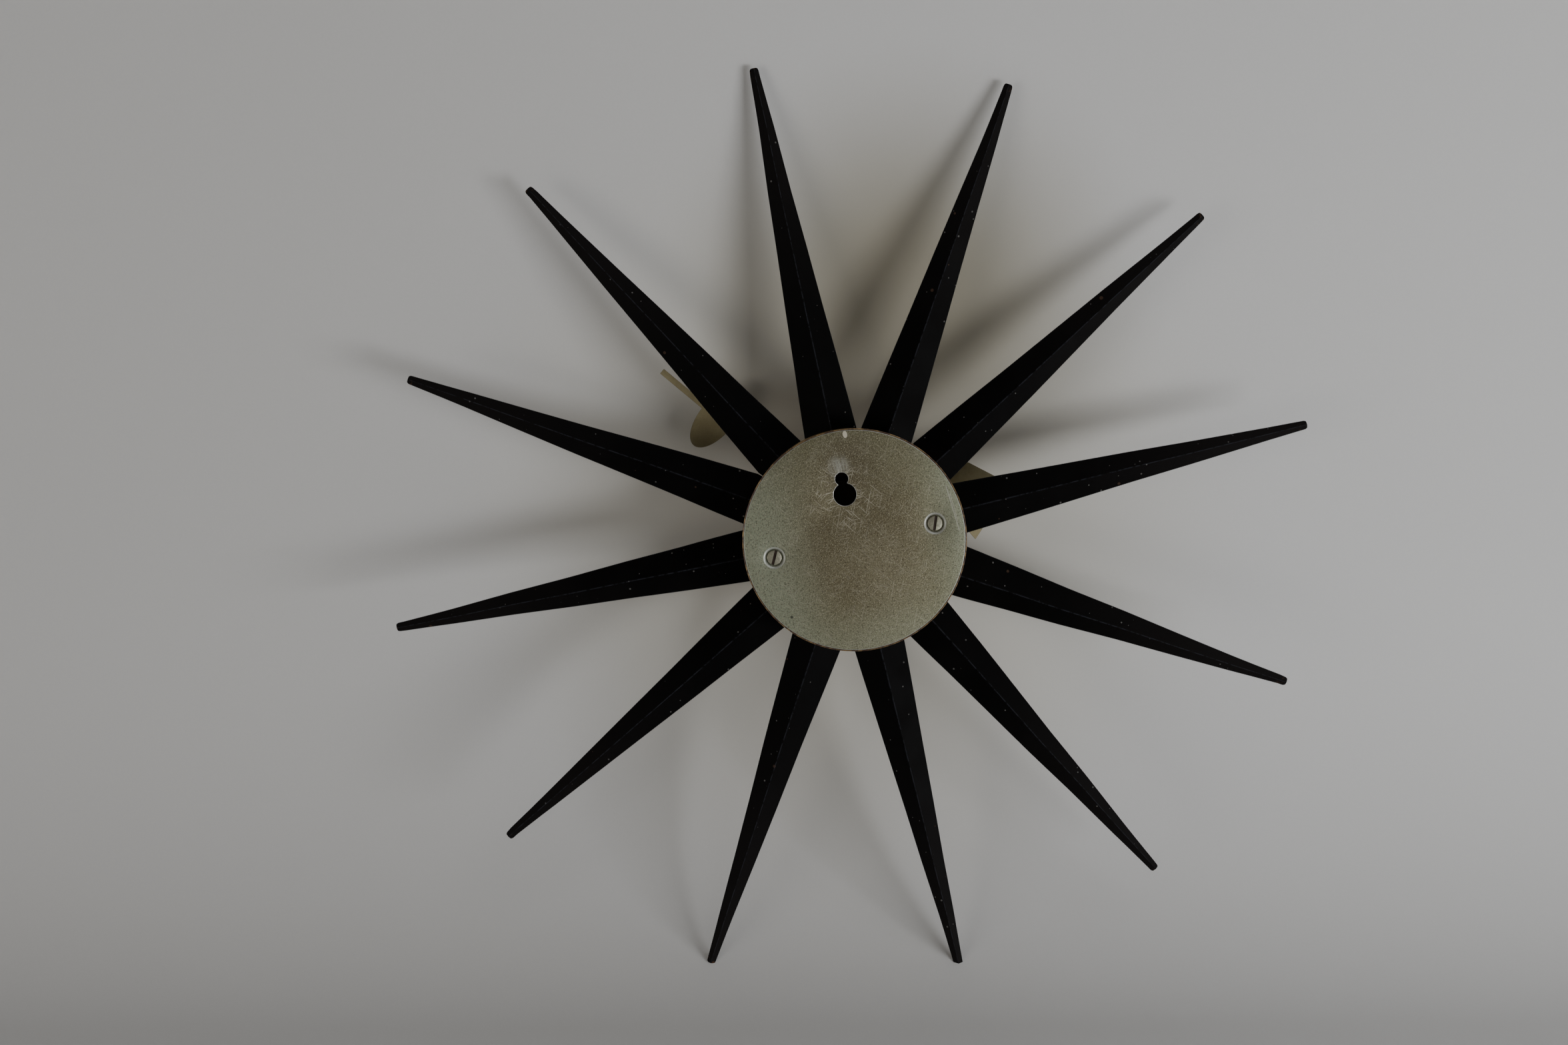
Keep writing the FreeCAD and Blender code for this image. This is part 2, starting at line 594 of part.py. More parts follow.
def make_contact(side, middle_depth):
    """A strip that presses on one end of the battery and bears on the case's side wall."""
    inner = CASE_WIDTH / 2.0 - CASE_WALL
    end = BATTERY_LENGTH / 2.0
    tall = BATTERY_RADIUS * 0.6
    strip = block(end, end + CONTACT_THICKNESS, BATTERY_HEIGHT - tall, BATTERY_HEIGHT + tall,
                  middle_depth - tall, middle_depth + tall)
    foot = block(end, inner, BATTERY_HEIGHT - tall, BATTERY_HEIGHT - tall + CONTACT_THICKNESS,
                 middle_depth - tall, middle_depth + tall)
    contact = strip.fuse(foot)
    if side < 0:
        contact = contact.mirror(Vec(0, 0, 0), Vec(1, 0, 0))
    return contact


def coil_place():
    """Where the coil stands: beside the rotor, against the left wall."""
    return -(CASE_WIDTH / 2.0 - CASE_WALL - COIL_WIDTH / 2.0 - 1.0)


def make_stator(back):
    """A C of soft iron: one arm above and one below, meeting round the rotor."""
    x = coil_place()
    half_bar = STATOR_ARM / 2.0
    rotor_x, rotor_z = ROTOR_CENTRE
    half_pole = MAGNET_RADIUS + STATOR_GAP + 1.6
    coil_top = rotor_z + COIL_LENGTH / 2.0
    coil_bottom = rotor_z - COIL_LENGTH / 2.0
    front = back + STATOR_THICKNESS
    low_end = coil_bottom - STATOR_ARM
    high_end = coil_top + STATOR_ARM
    bar = block(x - half_bar, x + half_bar, low_end, high_end, back, front)
    low_arm = block(x, rotor_x + half_bar, low_end, coil_bottom, back, front)
    high_arm = block(x, rotor_x + half_bar, coil_top, high_end, back, front)
    riser = block(rotor_x - half_bar, rotor_x + half_bar, low_end, high_end, back, front)
    pole = block(rotor_x - half_pole, rotor_x + half_pole, rotor_z - half_pole, rotor_z + half_pole,
                 back, front)
    stator = bar.fuse(low_arm).fuse(high_arm).fuse(riser).fuse(pole)
    return stator.cut(disc(ROTOR_CENTRE, MAGNET_RADIUS + STATOR_GAP, back - 1.0, front + 1.0))


def make_coil(stator_back):
    """The winding round the stator's long bar."""
    x = coil_place()
    rotor_z = ROTOR_CENTRE[1]
    half = COIL_LENGTH / 2.0 - 1.0
    middle = stator_back + STATOR_THICKNESS / 2.0
    coil = block(x - COIL_WIDTH / 2.0, x + COIL_WIDTH / 2.0, rotor_z - half, rotor_z + half,
                 middle - COIL_THICKNESS / 2.0, middle + COIL_THICKNESS / 2.0)
    return coil.cut(block(x - STATOR_ARM / 2.0, x + STATOR_ARM / 2.0, rotor_z - COIL_LENGTH,
                          rotor_z + COIL_LENGTH, stator_back, stator_back + STATOR_THICKNESS))


def make_circuit_board():
    """The board lies on the cover's inner face, on the right."""
    right = CASE_WIDTH / 2.0 - CASE_WALL - 0.4
    low = COVER_EDGE + CASE_WALL + 0.5
    board = block(right - BOARD_WIDTH, right, low, low + BOARD_HEIGHT, CASE_INNER_BACK,
                  CASE_INNER_BACK + BOARD_THICKNESS)
    chip_size = 4.0
    chip = block(right - chip_size - 3.0, right - 3.0, low + 6.0, low + 6.0 + chip_size,
                 CASE_INNER_BACK + BOARD_THICKNESS, CASE_INNER_BACK + BOARD_THICKNESS + 1.0)
    return board.fuse(chip)


def make_crystal():
    """The quartz in its can, lying on the board."""
    right = CASE_WIDTH / 2.0 - CASE_WALL - 0.4
    low = COVER_EDGE + CASE_WALL + 0.5
    depth = CASE_INNER_BACK + BOARD_THICKNESS + CRYSTAL_RADIUS
    start = right - BOARD_WIDTH + 2.0
    return along_x(start, start + CRYSTAL_LENGTH, CRYSTAL_RADIUS, low + BOARD_HEIGHT - 4.0, depth)


# ---- turning pieces ----

def make_minute_arbor():
    """The clock's central arbor: it carries the cannon pinion and the minute hand."""
    collar_back = CENTRE_LAYER - 0.4
    hex_back = BRIDGE_FRONT + 0.15
    hex_front = MOTION_LAYER + WHEEL_THICKNESS + 0.25
    arbor = disc(AXIS, MINUTE_REAR_PIVOT_RADIUS, CASE_BACK + END_SHAKE, collar_back)
    arbor = arbor.fuse(disc(AXIS, MINUTE_ARBOR_RADIUS + 0.5, collar_back, CENTRE_LAYER - 0.1))
    arbor = arbor.fuse(disc(AXIS, MINUTE_ARBOR_RADIUS, CENTRE_LAYER - 0.1, MINUTE_HAND_BACK))
    arbor = arbor.fuse(prism(regular(AXIS, MINUTE_HEX_RADIUS, 6), hex_back, hex_front))
    front = MINUTE_HAND_BACK + HAND_THICKNESS + HAND_NUT_DEPTH
    return arbor.fuse(disc(AXIS, MINUTE_FRONT_RADIUS, MINUTE_HAND_BACK, front))


def make_hour_tube():
    """The pipe over the minute arbor, with a hexagon seat for its wheel."""
    hex_back = HOUR_LAYER - 0.1
    hex_front = HOUR_LAYER + WHEEL_THICKNESS + 0.3
    tube = disc(AXIS, HOUR_TUBE_RADIUS, hex_front, HOUR_HAND_BACK + HAND_THICKNESS + 0.6)
    tube = tube.fuse(prism(regular(AXIS, HOUR_HEX_RADIUS, 6), hex_back, hex_front))
    return tube.cut(disc(AXIS, MINUTE_ARBOR_RADIUS + RUNNING_CLEARANCE, hex_back - 1.0, MINUTE_HAND_BACK))


def make_motion_arbor():
    back = BRIDGE_FRONT + END_SHAKE
    front = CASE_INNER_FRONT - END_SHAKE
    arbor = prism(regular(MOTION_CENTRE, MOTION_HEX_RADIUS, 6), back, front)
    pivot_end = BRIDGE_FRONT - BRIDGE_THICKNESS + 0.05
    arbor = arbor.fuse(disc(MOTION_CENTRE, MOTION_ARBOR_RADIUS, pivot_end, back))
    return arbor.fuse(disc(MOTION_CENTRE, MOTION_ARBOR_RADIUS, front, CASE_FRONT - 0.5))


def make_set_arbor():
    """The setting arbor, from its knob behind the movement to the case's front wall."""
    hex_back = BRIDGE_FRONT + END_SHAKE
    hex_front = MOTION_LAYER + WHEEL_THICKNESS + 0.2
    knob_front = CASE_BACK - KNOB_GAP
    arbor = disc(SET_CENTRE, SET_ARBOR_RADIUS, knob_front, CASE_FRONT - 0.5)
    arbor = arbor.fuse(prism(regular(SET_CENTRE, SET_HEX_RADIUS, 6), hex_back, hex_front))
    return arbor.fuse(prism(regular(SET_CENTRE, KNOB_RADIUS, 24), knob_front - KNOB_THICKNESS, knob_front))


def make_centre_collet():
    """The friction collet between the centre wheel and the minute arbor."""
    back = CENTRE_LAYER
    front = CENTRE_LAYER + WHEEL_THICKNESS + 0.1
    collet = prism(regular(AXIS, MINUTE_ARBOR_RADIUS + 1.0, 6), back, front)
    return collet.cut(disc(AXIS, MINUTE_ARBOR_RADIUS + RUNNING_CLEARANCE, back - 1.0, front + 1.0))


def stand_up(shape, angle_deg):
    """Turn a hand drawn towards 12 o'clock to its place, clockwise from the front."""
    turned_hand = shape.copy()
    turned_hand.rotate(Vec(0, 0, 0), Vec(0, 1, 0), angle_deg)
    return turned_hand


def make_hour_hand():
    half = HOUR_STICK_WIDTH / 2.0
    back = HOUR_HAND_BACK
    hand = prism([(-half, 0.0), (half, 0.0), (half, HOUR_KITE_PLACE), (-half, HOUR_KITE_PLACE)],
                 back, back + HAND_THICKNESS)
    kite = prism([(0.0, HOUR_KITE_NOTCH), (HOUR_KITE_HALF_WIDTH, HOUR_KITE_PLACE), (0.0, HOUR_TIP),
                  (-HOUR_KITE_HALF_WIDTH, HOUR_KITE_PLACE)], back, back + HAND_THICKNESS)
    boss = disc(AXIS, HAND_HUB_RADIUS, back, back + HAND_THICKNESS)
    hand = hand.fuse(kite).fuse(boss).removeSplitter()
    hand = hand.cut(disc(AXIS, HOUR_TUBE_RADIUS, back - 1.0, back + 2.0))
    return stand_up(hand, HOUR_ANGLE_DEG)


def make_minute_hand():
    half = MINUTE_STICK_WIDTH / 2.0
    back = MINUTE_HAND_BACK
    hand = prism([(-half, 0.0), (half, 0.0), (half, MINUTE_TIP), (-half, MINUTE_TIP)],
                 back, back + HAND_THICKNESS)
    oval = Part.Ellipse(at((0.0, MINUTE_ELLIPSE_PLACE), back), MINUTE_ELLIPSE_HALF_LENGTH,
                        MINUTE_ELLIPSE_HALF_WIDTH)
    oval_edge = oval.toShape()
    oval_edge.rotate(at((0.0, MINUTE_ELLIPSE_PLACE), back), Vec(1, 0, 0), 90)
    leaf = Part.Face(Part.Wire(oval_edge)).extrude(FORWARD * HAND_THICKNESS)
    boss = disc(AXIS, HAND_HUB_RADIUS - 1.0, back, back + HAND_THICKNESS)
    hand = hand.fuse(leaf).fuse(boss).removeSplitter()
    hand = hand.cut(disc(AXIS, MINUTE_FRONT_RADIUS, back - 1.0, back + 2.0))
    return stand_up(hand, MINUTE_ANGLE_DEG)


def make_hand_nut():
    """A closed round nut on the front of the minute arbor."""
    back = MINUTE_HAND_BACK + HAND_THICKNESS
    nut = turned([
        (0.0, back, 0.0),
        (HAND_NUT_RADIUS, back, 0.0),
        (HAND_NUT_RADIUS, back + HAND_NUT_HEIGHT, 1.2),
        (0.0, back + HAND_NUT_HEIGHT, 0.0),
    ])
    return nut.cut(disc(AXIS, MINUTE_FRONT_RADIUS, back - 1.0, back + HAND_NUT_DEPTH))


def make_ring(outer_radius, inner_radius, back, front):
    return disc(AXIS, outer_radius, back, front).cut(disc(AXIS, inner_radius, back - 1.0, front + 1.0))


def make_rotor_pinion():
    bore = regular(ROTOR_CENTRE, TRAIN_HEX_RADIUS, 6)
    points = gear_points(ROTOR_CENTRE, ROTOR_MODULE, TRAIN_PINION_TEETH, ROTOR_PINION_PHASE)
    return prism(points, INTERMEDIATE_LAYER - 0.3, INTERMEDIATE_LAYER + WHEEL_THICKNESS + 0.3, bore)


def make_rotor_magnet():
    magnet = disc(ROTOR_CENTRE, MAGNET_RADIUS, MAGNET_BACK, MAGNET_BACK + MAGNET_THICKNESS)
    bore = prism(regular(ROTOR_CENTRE, TRAIN_HEX_RADIUS, 6), MAGNET_BACK - 1.0,
                 MAGNET_BACK + MAGNET_THICKNESS + 1.0)
    return magnet.cut(bore)


def gear(centre, module, teeth, phase, hex_radius, back):
    bore = regular(centre, hex_radius, 6)
    return prism(gear_points(centre, module, teeth, phase), back, back + WHEEL_THICKNESS, bore)


def build():
    outer = drum_outer()
    inner = drum_inner()
    battery_depth = (CASE_INNER_BACK + CASE_INNER_FRONT) / 2.0
    stator_back = MAGNET_BACK + (MAGNET_THICKNESS - STATOR_THICKNESS) / 2.0
    bridge_back = BRIDGE_FRONT - BRIDGE_THICKNESS
    nodes = {
        "hub_cup": make_hub_cup(outer, inner),
        "ray_screws": make_ray_screws(inner),
        "back_plate": make_back_plate(),
        "plate_posts": make_plate_posts(),
        "plate_screws": make_plate_screws(),
        "gasket": make_ring(GASKET_RADIUS, BUSH_RADIUS + RUNNING_CLEARANCE, CASE_FRONT, DRUM_INNER_DEPTH),
        "dial_washer": make_ring(WASHER_RADIUS, BUSH_RADIUS + RUNNING_CLEARANCE, DRUM_DEPTH,
                                 DRUM_DEPTH + WASHER_THICKNESS),
        "movement_case": make_movement_case(),
        "movement_cover": make_movement_cover(),
        "train_bridge": make_train_bridge(),
        "battery": make_battery(battery_depth),
        "contact_positive": make_contact(1, battery_depth),
        "contact_negative": make_contact(-1, battery_depth),
        "stator": make_stator(stator_back),
        "coil": make_coil(stator_back),
        "circuit_board": make_circuit_board(),
        "crystal": make_crystal(),
        "rotor_magnet": make_rotor_magnet(),
        "rotor_pinion": make_rotor_pinion(),
        "rotor_arbor": train_arbor(ROTOR_CENTRE, BRIDGE_FRONT - 0.05),
        "intermediate_wheel": wheel_and_pinion(
            INTERMEDIATE_CENTRE,
            (ROTOR_MODULE, INTERMEDIATE_TEETH, 0.0),
            (INTERMEDIATE_MODULE, TRAIN_PINION_TEETH, INTERMEDIATE_PINION_PHASE),
            TRAIN_HEX_RADIUS, INTERMEDIATE_LAYER, SECOND_LAYER + WHEEL_THICKNESS + 0.1),
        "intermediate_arbor": train_arbor(INTERMEDIATE_CENTRE, BRIDGE_FRONT - 0.05),
        "second_wheel": wheel_and_pinion(
            SECOND_CENTRE,
            (INTERMEDIATE_MODULE, SECOND_TEETH, 0.0),
            (SECOND_MODULE, TRAIN_PINION_TEETH, SECOND_PINION_PHASE),
            TRAIN_HEX_RADIUS, SECOND_LAYER, THIRD_LAYER + WHEEL_THICKNESS + 0.1),
        "second_arbor": train_arbor(SECOND_CENTRE, BRIDGE_FRONT - 0.05),
        "third_wheel": wheel_and_pinion(
            THIRD_CENTRE,
            (SECOND_MODULE, THIRD_TEETH, 0.0),
            (THIRD_MODULE, TRAIN_PINION_TEETH, THIRD_PINION_PHASE),
            TRAIN_HEX_RADIUS, THIRD_LAYER, CENTRE_LAYER + WHEEL_THICKNESS + 0.05),
        "third_arbor": train_arbor(THIRD_CENTRE, BRIDGE_FRONT - 0.05),
        "centre_wheel": gear(AXIS, THIRD_MODULE, CENTRE_TEETH, 0.0, MINUTE_ARBOR_RADIUS + 1.0,
                             CENTRE_LAYER),
        "centre_collet": make_centre_collet(),
        "minute_arbor": make_minute_arbor(),
        "cannon_pinion": gear(AXIS, MOTION_MODULE, CANNON_TEETH, 0.0, MINUTE_HEX_RADIUS, MOTION_LAYER),
        "motion_wheel": wheel_and_pinion(
            MOTION_CENTRE,
            (MOTION_MODULE, MOTION_WHEEL_TEETH, MOTION_PHASE),
            (HOUR_MODULE, MOTION_PINION_TEETH, 0.0),
            MOTION_HEX_RADIUS, MOTION_LAYER, HOUR_LAYER + WHEEL_THICKNESS + 0.1),
        "motion_arbor": make_motion_arbor(),
        "hour_wheel": gear(AXIS, HOUR_MODULE, HOUR_WHEEL_TEETH, HOUR_PHASE, HOUR_HEX_RADIUS, HOUR_LAYER),
        "hour_tube": make_hour_tube(),
        "set_pinion": gear(SET_CENTRE, MOTION_MODULE, SET_TEETH, SET_PHASE, SET_HEX_RADIUS, MOTION_LAYER),
        "set_arbor": make_set_arbor(),
        "hour_hand": make_hour_hand(),
        "minute_hand": make_minute_hand(),
        "hand_nut": make_hand_nut(),
    }
    nut_corner = NUT_ACROSS_FLATS / 2.0 / math.cos(math.pi / 6.0)
    nut_back = DRUM_DEPTH + WASHER_THICKNESS
    nut = prism(regular(AXIS, nut_corner, 6), nut_back, nut_back + NUT_THICKNESS)
    nodes["hex_nut"] = nut.cut(disc(AXIS, BUSH_RADIUS, nut_back - 1.0, nut_back + NUT_THICKNESS + 1.0))
    for hour in range(1, RAY_COUNT + 1):
        nodes["ray_%02d" % hour] = make_ray(hour, outer)
    return nodes


os.makedirs("parts", exist_ok=True)
parts = build()
for name, shape in parts.items():
    shape.exportStep("parts/%s.step" % name)
    sound = shape.isValid() and shape.Volume > 0
    verdict = "ok" if sound else "BAD"
    print("%-20s %3d solid %10.2f mm3 %s" % (name, len(shape.Solids), shape.Volume, verdict))
print(len(parts), "nodes")
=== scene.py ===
# %% [markdown]
# # A sunburst wall clock, seen from its back
#
# The clock is a shallow spun drum with twelve black lacquered wooden rays around it. The CAD model fixes
# every size and joint. This file gives the clock its looks: rounded edges, lacquer, worn sheet metal and
# tarnished hands. We start by loading the CAD model as a frame that nothing here may move.

# %% Load the frame
import json
import math

import bmesh
import bpy
import numpy as np
from mathutils import Matrix, Vector
from mathutils.geometry import delaunay_2d_cdt


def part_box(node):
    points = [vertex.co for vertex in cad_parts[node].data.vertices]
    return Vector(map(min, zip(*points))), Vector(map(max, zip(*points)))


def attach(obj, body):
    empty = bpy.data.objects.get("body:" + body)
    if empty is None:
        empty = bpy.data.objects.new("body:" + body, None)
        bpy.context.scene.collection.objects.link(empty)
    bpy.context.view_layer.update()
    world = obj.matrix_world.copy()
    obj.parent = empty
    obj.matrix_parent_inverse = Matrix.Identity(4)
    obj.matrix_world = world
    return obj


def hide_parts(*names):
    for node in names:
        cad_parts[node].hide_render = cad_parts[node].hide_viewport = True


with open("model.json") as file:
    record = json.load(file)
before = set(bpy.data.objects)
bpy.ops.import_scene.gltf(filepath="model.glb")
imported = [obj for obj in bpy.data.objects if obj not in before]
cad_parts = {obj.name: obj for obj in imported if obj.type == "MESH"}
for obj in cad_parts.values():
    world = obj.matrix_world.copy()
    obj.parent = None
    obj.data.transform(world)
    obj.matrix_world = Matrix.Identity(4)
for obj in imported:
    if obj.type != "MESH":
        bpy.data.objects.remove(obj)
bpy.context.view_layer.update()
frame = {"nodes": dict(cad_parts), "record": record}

# %% [markdown]
# ## Sizes
#
# Everything that can be read from the frame is read from it: the mounts give the keyhole, and the boxes
# of the nodes give the drum, the screws and the hands. A few sizes that a box can't show, such as the
# drum's taper, are repeated here from the design.

# %% Sizes
MM = 0.001
mounts = {mount["name"]: mount for mount in frame["record"]["mounts"]}
entry_radius = mounts["keyhole_entry"]["dims"]["r_mm"] * MM
entry_height = mounts["keyhole_entry"]["pos_m"][2]
seat_radius = mounts["keyhole_slot"]["dims"]["r_mm"] * MM
seat_height = mounts["keyhole_slot"]["pos_m"][2]
plate_thickness = mounts["keyhole_entry"]["dims"]["length_mm"] * MM
plate_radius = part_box("back_plate")[1][0]
drum_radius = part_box("hub_cup")[1][0]
drum_front = -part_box("hub_cup")[0][1]
drum_lip = -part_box("hub_cup")[1][1]
drum_taper = math.radians(3.0)
drum_wall = 0.6 * MM
drum_face_thickness = 0.8 * MM
drum_edge_radius = 5.0 * MM
thread_hole_radius = 4.05 * MM
ray_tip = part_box("ray_12")[1][2]
ray_depth = -(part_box("ray_12")[0][1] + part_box("ray_12")[1][1]) / 2
ray_half_thickness = (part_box("ray_12")[1][1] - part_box("ray_12")[0][1]) / 2
ray_root_half_width = 13.7 * MM
ray_tip_half_width = 2.44 * MM
neck_width = 4.4 * MM


def reach(node):
    """A CAD node's back depth, front depth and radius, from its box."""
    low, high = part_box(node)
    return -high[1], -low[1], high[0]


print("drum radius %.1f mm, rays to %.1f mm" % (drum_radius / MM, ray_tip / MM))

# %% [markdown]
# ## Helpers for surfaces
#
# Most pieces here are one of two kinds: a profile turned about the clock's axis, or rings of points
# joined by a grid of faces. Both are whole arrays in numpy, so a piece is a formula and not a list of
# vertices.

# %% Surface helpers


def grid_faces(rows, columns, wrap):
    """Four-sided faces between neighbouring points of a grid; wrap joins the last column to the first."""
    row, column = np.mgrid[0:rows - 1, 0:columns if wrap else columns - 1]
    after = (column + 1) % columns
    corners = [row * columns + column, row * columns + after,
               (row + 1) * columns + after, (row + 1) * columns + column]
    return np.stack(corners, axis=-1).reshape(-1, 4)


def make_mesh(name, points, faces):
    """A smooth mesh object from an array of points and a list of faces."""
    mesh = bpy.data.meshes.new(name)
    rows = np.asarray(points, dtype=float).reshape(-1, 3).tolist()
    mesh.from_pydata(rows, [], [list(map(int, face)) for face in faces])
    mesh.validate()
    piece = bpy.data.objects.new(name, mesh)
    bpy.context.collection.objects.link(piece)
    mesh.polygons.foreach_set("use_smooth", np.ones(len(mesh.polygons), dtype=bool))
    return piece


def mesh_points(mesh):
    """A mesh's points as an array with one row each."""
    points = np.empty(len(mesh.vertices) * 3)
    mesh.vertices.foreach_get("co", points)
    return points.reshape(-1, 3)


def carry(piece, name, values):
    """Gives each point of a piece a value of its own, which its material reads by name."""
    attribute = piece.data.attributes.new(name, "FLOAT", "POINT")
    attribute.data.foreach_set("value", values.reshape(-1))


def turn_outwards(piece):
    """Makes all faces of a closed piece look outwards, by the sign of the volume they enclose."""
    mesh = piece.data
    mesh.calc_loop_triangles()
    points = mesh_points(mesh)
    corners = np.empty(len(mesh.loop_triangles) * 3, dtype=int)
    mesh.loop_triangles.foreach_get("vertices", corners)
    a, b, c = (points[corners.reshape(-1, 3)[:, k]] for k in range(3))
    if np.einsum("ij,ij->i", a, np.cross(b, c)).sum() < 0:
        mesh.flip_normals()
    return piece


def sharpen(piece, degrees=35.0):
    """Keeps creases steeper than an angle crisp while the rest stays smooth."""
    piece.data.set_sharp_from_angle(angle=math.radians(degrees))
    return piece


def corner_arc(corner, before, after, rounding, count):
    """Points of an arc tangent to both sides of a corner, for whole arrays of corners at once."""
    back, ahead = before - corner, after - corner
    back /= np.linalg.norm(back, axis=-1, keepdims=True)
    ahead /= np.linalg.norm(ahead, axis=-1, keepdims=True)
    half = np.arccos(np.clip((back * ahead).sum(-1, keepdims=True), -1, 1)) / 2
    middle = back + ahead
    middle /= np.linalg.norm(middle, axis=-1, keepdims=True)
    centre = corner + middle * rounding / np.sin(half)
    start = corner + back * rounding / np.tan(half) - centre
    end = corner + ahead * rounding / np.tan(half) - centre
    sweep = np.pi - 2 * half
    share = np.linspace(0, 1, count)[None, :, None]
    sweep, start, end, centre = sweep[:, None], start[:, None], end[:, None], centre[:, None]
    return centre + (np.sin((1 - share) * sweep) * start + np.sin(share * sweep) * end) / np.sin(sweep)


def round_corners(corners, steps=5):
    """A closed profile with each (radius, depth, corner radius) point rounded by a tangent arc."""
    corners = np.asarray(corners, dtype=float)
    points = corners[:, :2]
    before, after = np.roll(points, 1, axis=0), np.roll(points, -1, axis=0)
    profile = []
    for k, size in enumerate(corners[:, 2]):
        here = slice(k, k + 1)
        if size > 0:
            profile.append(corner_arc(points[here], before[here], after[here], size, steps)[0])
        else:
            profile.append(points[here])
    return np.concatenate(profile)


def turned(name, profile, segments=128, centre=(0.0, 0.0)):
    """A ring turned about the clock's axis: each profile point (radius, depth) becomes a circle."""
    angle = np.linspace(0, 2 * np.pi, segments, endpoint=False)
    radius, depth = profile[:, 0][:, None], profile[:, 1][:, None]
    points = np.stack([centre[0] + radius * np.cos(angle), -depth + 0 * angle,
                       centre[1] + radius * np.sin(angle)], axis=-1)
    closed = np.concatenate([points, points[:1]])
    faces = grid_faces(len(closed), segments, True) % (len(profile) * segments)
    return sharpen(turn_outwards(make_mesh(name, points, faces)))


print("helpers ready")

# %% [markdown]
# ## Helpers for materials
#
# A material is a small graph of nodes. `add` makes a node and fills its inputs in one call: an input is
# either a plain value or the output of another node. Patterns that several materials share become node
# groups.

# %% Material helpers


def set_inputs(tree, node, values):
    """Fills a node's inputs: each value is a plain one or another node's output."""
    for key, value in values.items():
        if isinstance(value, bpy.types.NodeSocket):
            tree.links.new(value, node.inputs[key])
        else:
            node.inputs[key].default_value = value
    return node


def add(tree, kind, inputs=None, **settings):
    """A new node with its settings and inputs."""
    made = tree.nodes.new(kind)
    for name, value in settings.items():
        setattr(made, name, value)
    return set_inputs(tree, made, inputs or {})


def colour(red, green, blue):
    return (red, green, blue, 1.0)


def mix_colour(tree, share, first, second):
    """The second colour over the first, by a share from 0 to 1."""
    return add(tree, "ShaderNodeMix", {0: share, 6: first, 7: second}, data_type="RGBA").outputs[2]


def mix_value(tree, share, first, second):
    return add(tree, "ShaderNodeMix", {0: share, 2: first, 3: second}).outputs[0]


def calculate(tree, operation, first, second=0.0, clamp=False):
    made = add(tree, "ShaderNodeMath", {0: first, 1: second}, operation=operation, use_clamp=clamp)
    return made.outputs[0]


def times(tree, first, second, clamp=False):
    return calculate(tree, "MULTIPLY", first, second, clamp)


def layers(tree, base, *rows):
    """The base with other tones over it in turn: each row gives a mask, its share and the tone."""
    for mask, share, tone in rows:
        base = mix_colour(tree, times(tree, mask, share), base, colour(*tone))
    return base


def fade(tree, value, start, end):
    """0 where the value is at start, 1 where it is at end, and smooth between."""
    return add(tree, "ShaderNodeMapRange", {"Value": value, "From Min": start, "From Max": end},
               interpolation_type="SMOOTHSTEP").outputs["Result"]


def noise(tree, place, scale, detail, rough):
    inputs = {"Vector": place, "Scale": scale, "Detail": detail, "Roughness": rough}
    return add(tree, "ShaderNodeTexNoise", inputs).outputs["Fac"]


def mapped(tree, place, **change):
    """The place moved, turned or scaled: Location, Rotation or Scale."""
    return add(tree, "ShaderNodeMapping", {"Vector": place, **change}).outputs[0]


def stretch(tree, place, turn, scale):
    """The place turned about the clock's axis and then stretched, for patterns with a direction."""
    return mapped(tree, mapped(tree, place, Rotation=(0.0, turn, 0.0)), Scale=scale)


def part(tree, place, axis):
    """One of a place's three numbers, by its axis X, Y or Z."""
    return add(tree, "ShaderNodeSeparateXYZ", {"Vector": place}).outputs[axis]


def distance(tree, place, point):
    """How far the surface is from a point."""
    return add(tree, "ShaderNodeVectorMath", {0: place, 1: point}, operation="DISTANCE").outputs["Value"]


def object_place(tree):
    return add(tree, "ShaderNodeTexCoord").outputs["Object"]


def own_value(tree, name):
    """A value that the piece carries on its own points."""
    return add(tree, "ShaderNodeAttribute", attribute_name=name).outputs["Fac"]


def bump(tree, height, strength, size):
    inputs = {"Height": height, "Strength": strength, "Distance": size}
    return add(tree, "ShaderNodeBump", inputs).outputs["Normal"]


def new_material(name):
    """A material with one Principled shader; returns the material, its tree and the shader."""
    material = bpy.data.materials.new(name)
    material.use_nodes = True
    tree = material.node_tree
    tree.nodes.clear()
    shader = add(tree, "ShaderNodeBsdfPrincipled")
    add(tree, "ShaderNodeOutputMaterial", {"Surface": shader.outputs["BSDF"]})
    return material, tree, shader


def new_group(name, inputs, outputs):
    """A node group with named inputs (name, kind, default) and outputs (name, kind)."""
    group = bpy.data.node_groups.new(name, "ShaderNodeTree")
    for label, kind, default in inputs:
        socket = group.interface.new_socket(label, in_out="INPUT", socket_type=kind)
        socket.default_value = default
    for label, kind in outputs:
        group.interface.new_socket(label, in_out="OUTPUT", socket_type=kind)
    start = group.nodes.new("NodeGroupInput")
    end = group.nodes.new("NodeGroupOutput")
    return group, start, end


def place_group(tree, group, inputs):
    return add(tree, "ShaderNodeGroup", inputs, node_tree=group)


print("material helpers ready")

# %% [markdown]
# ## Shared effects
#
# Old metal and old lacquer share three effects: fine speckle with stains, long thin scratches, and specks
# of dust. Each is one node group, used by several materials with their own values.
#
# A scratch is a noise stretched so far that its blobs become lines. Turning the same pattern by a few
# angles gives scratches that cross.

# %% Shared node groups
FLOAT, VECTOR = "NodeSocketFloat", "NodeSocketVector"


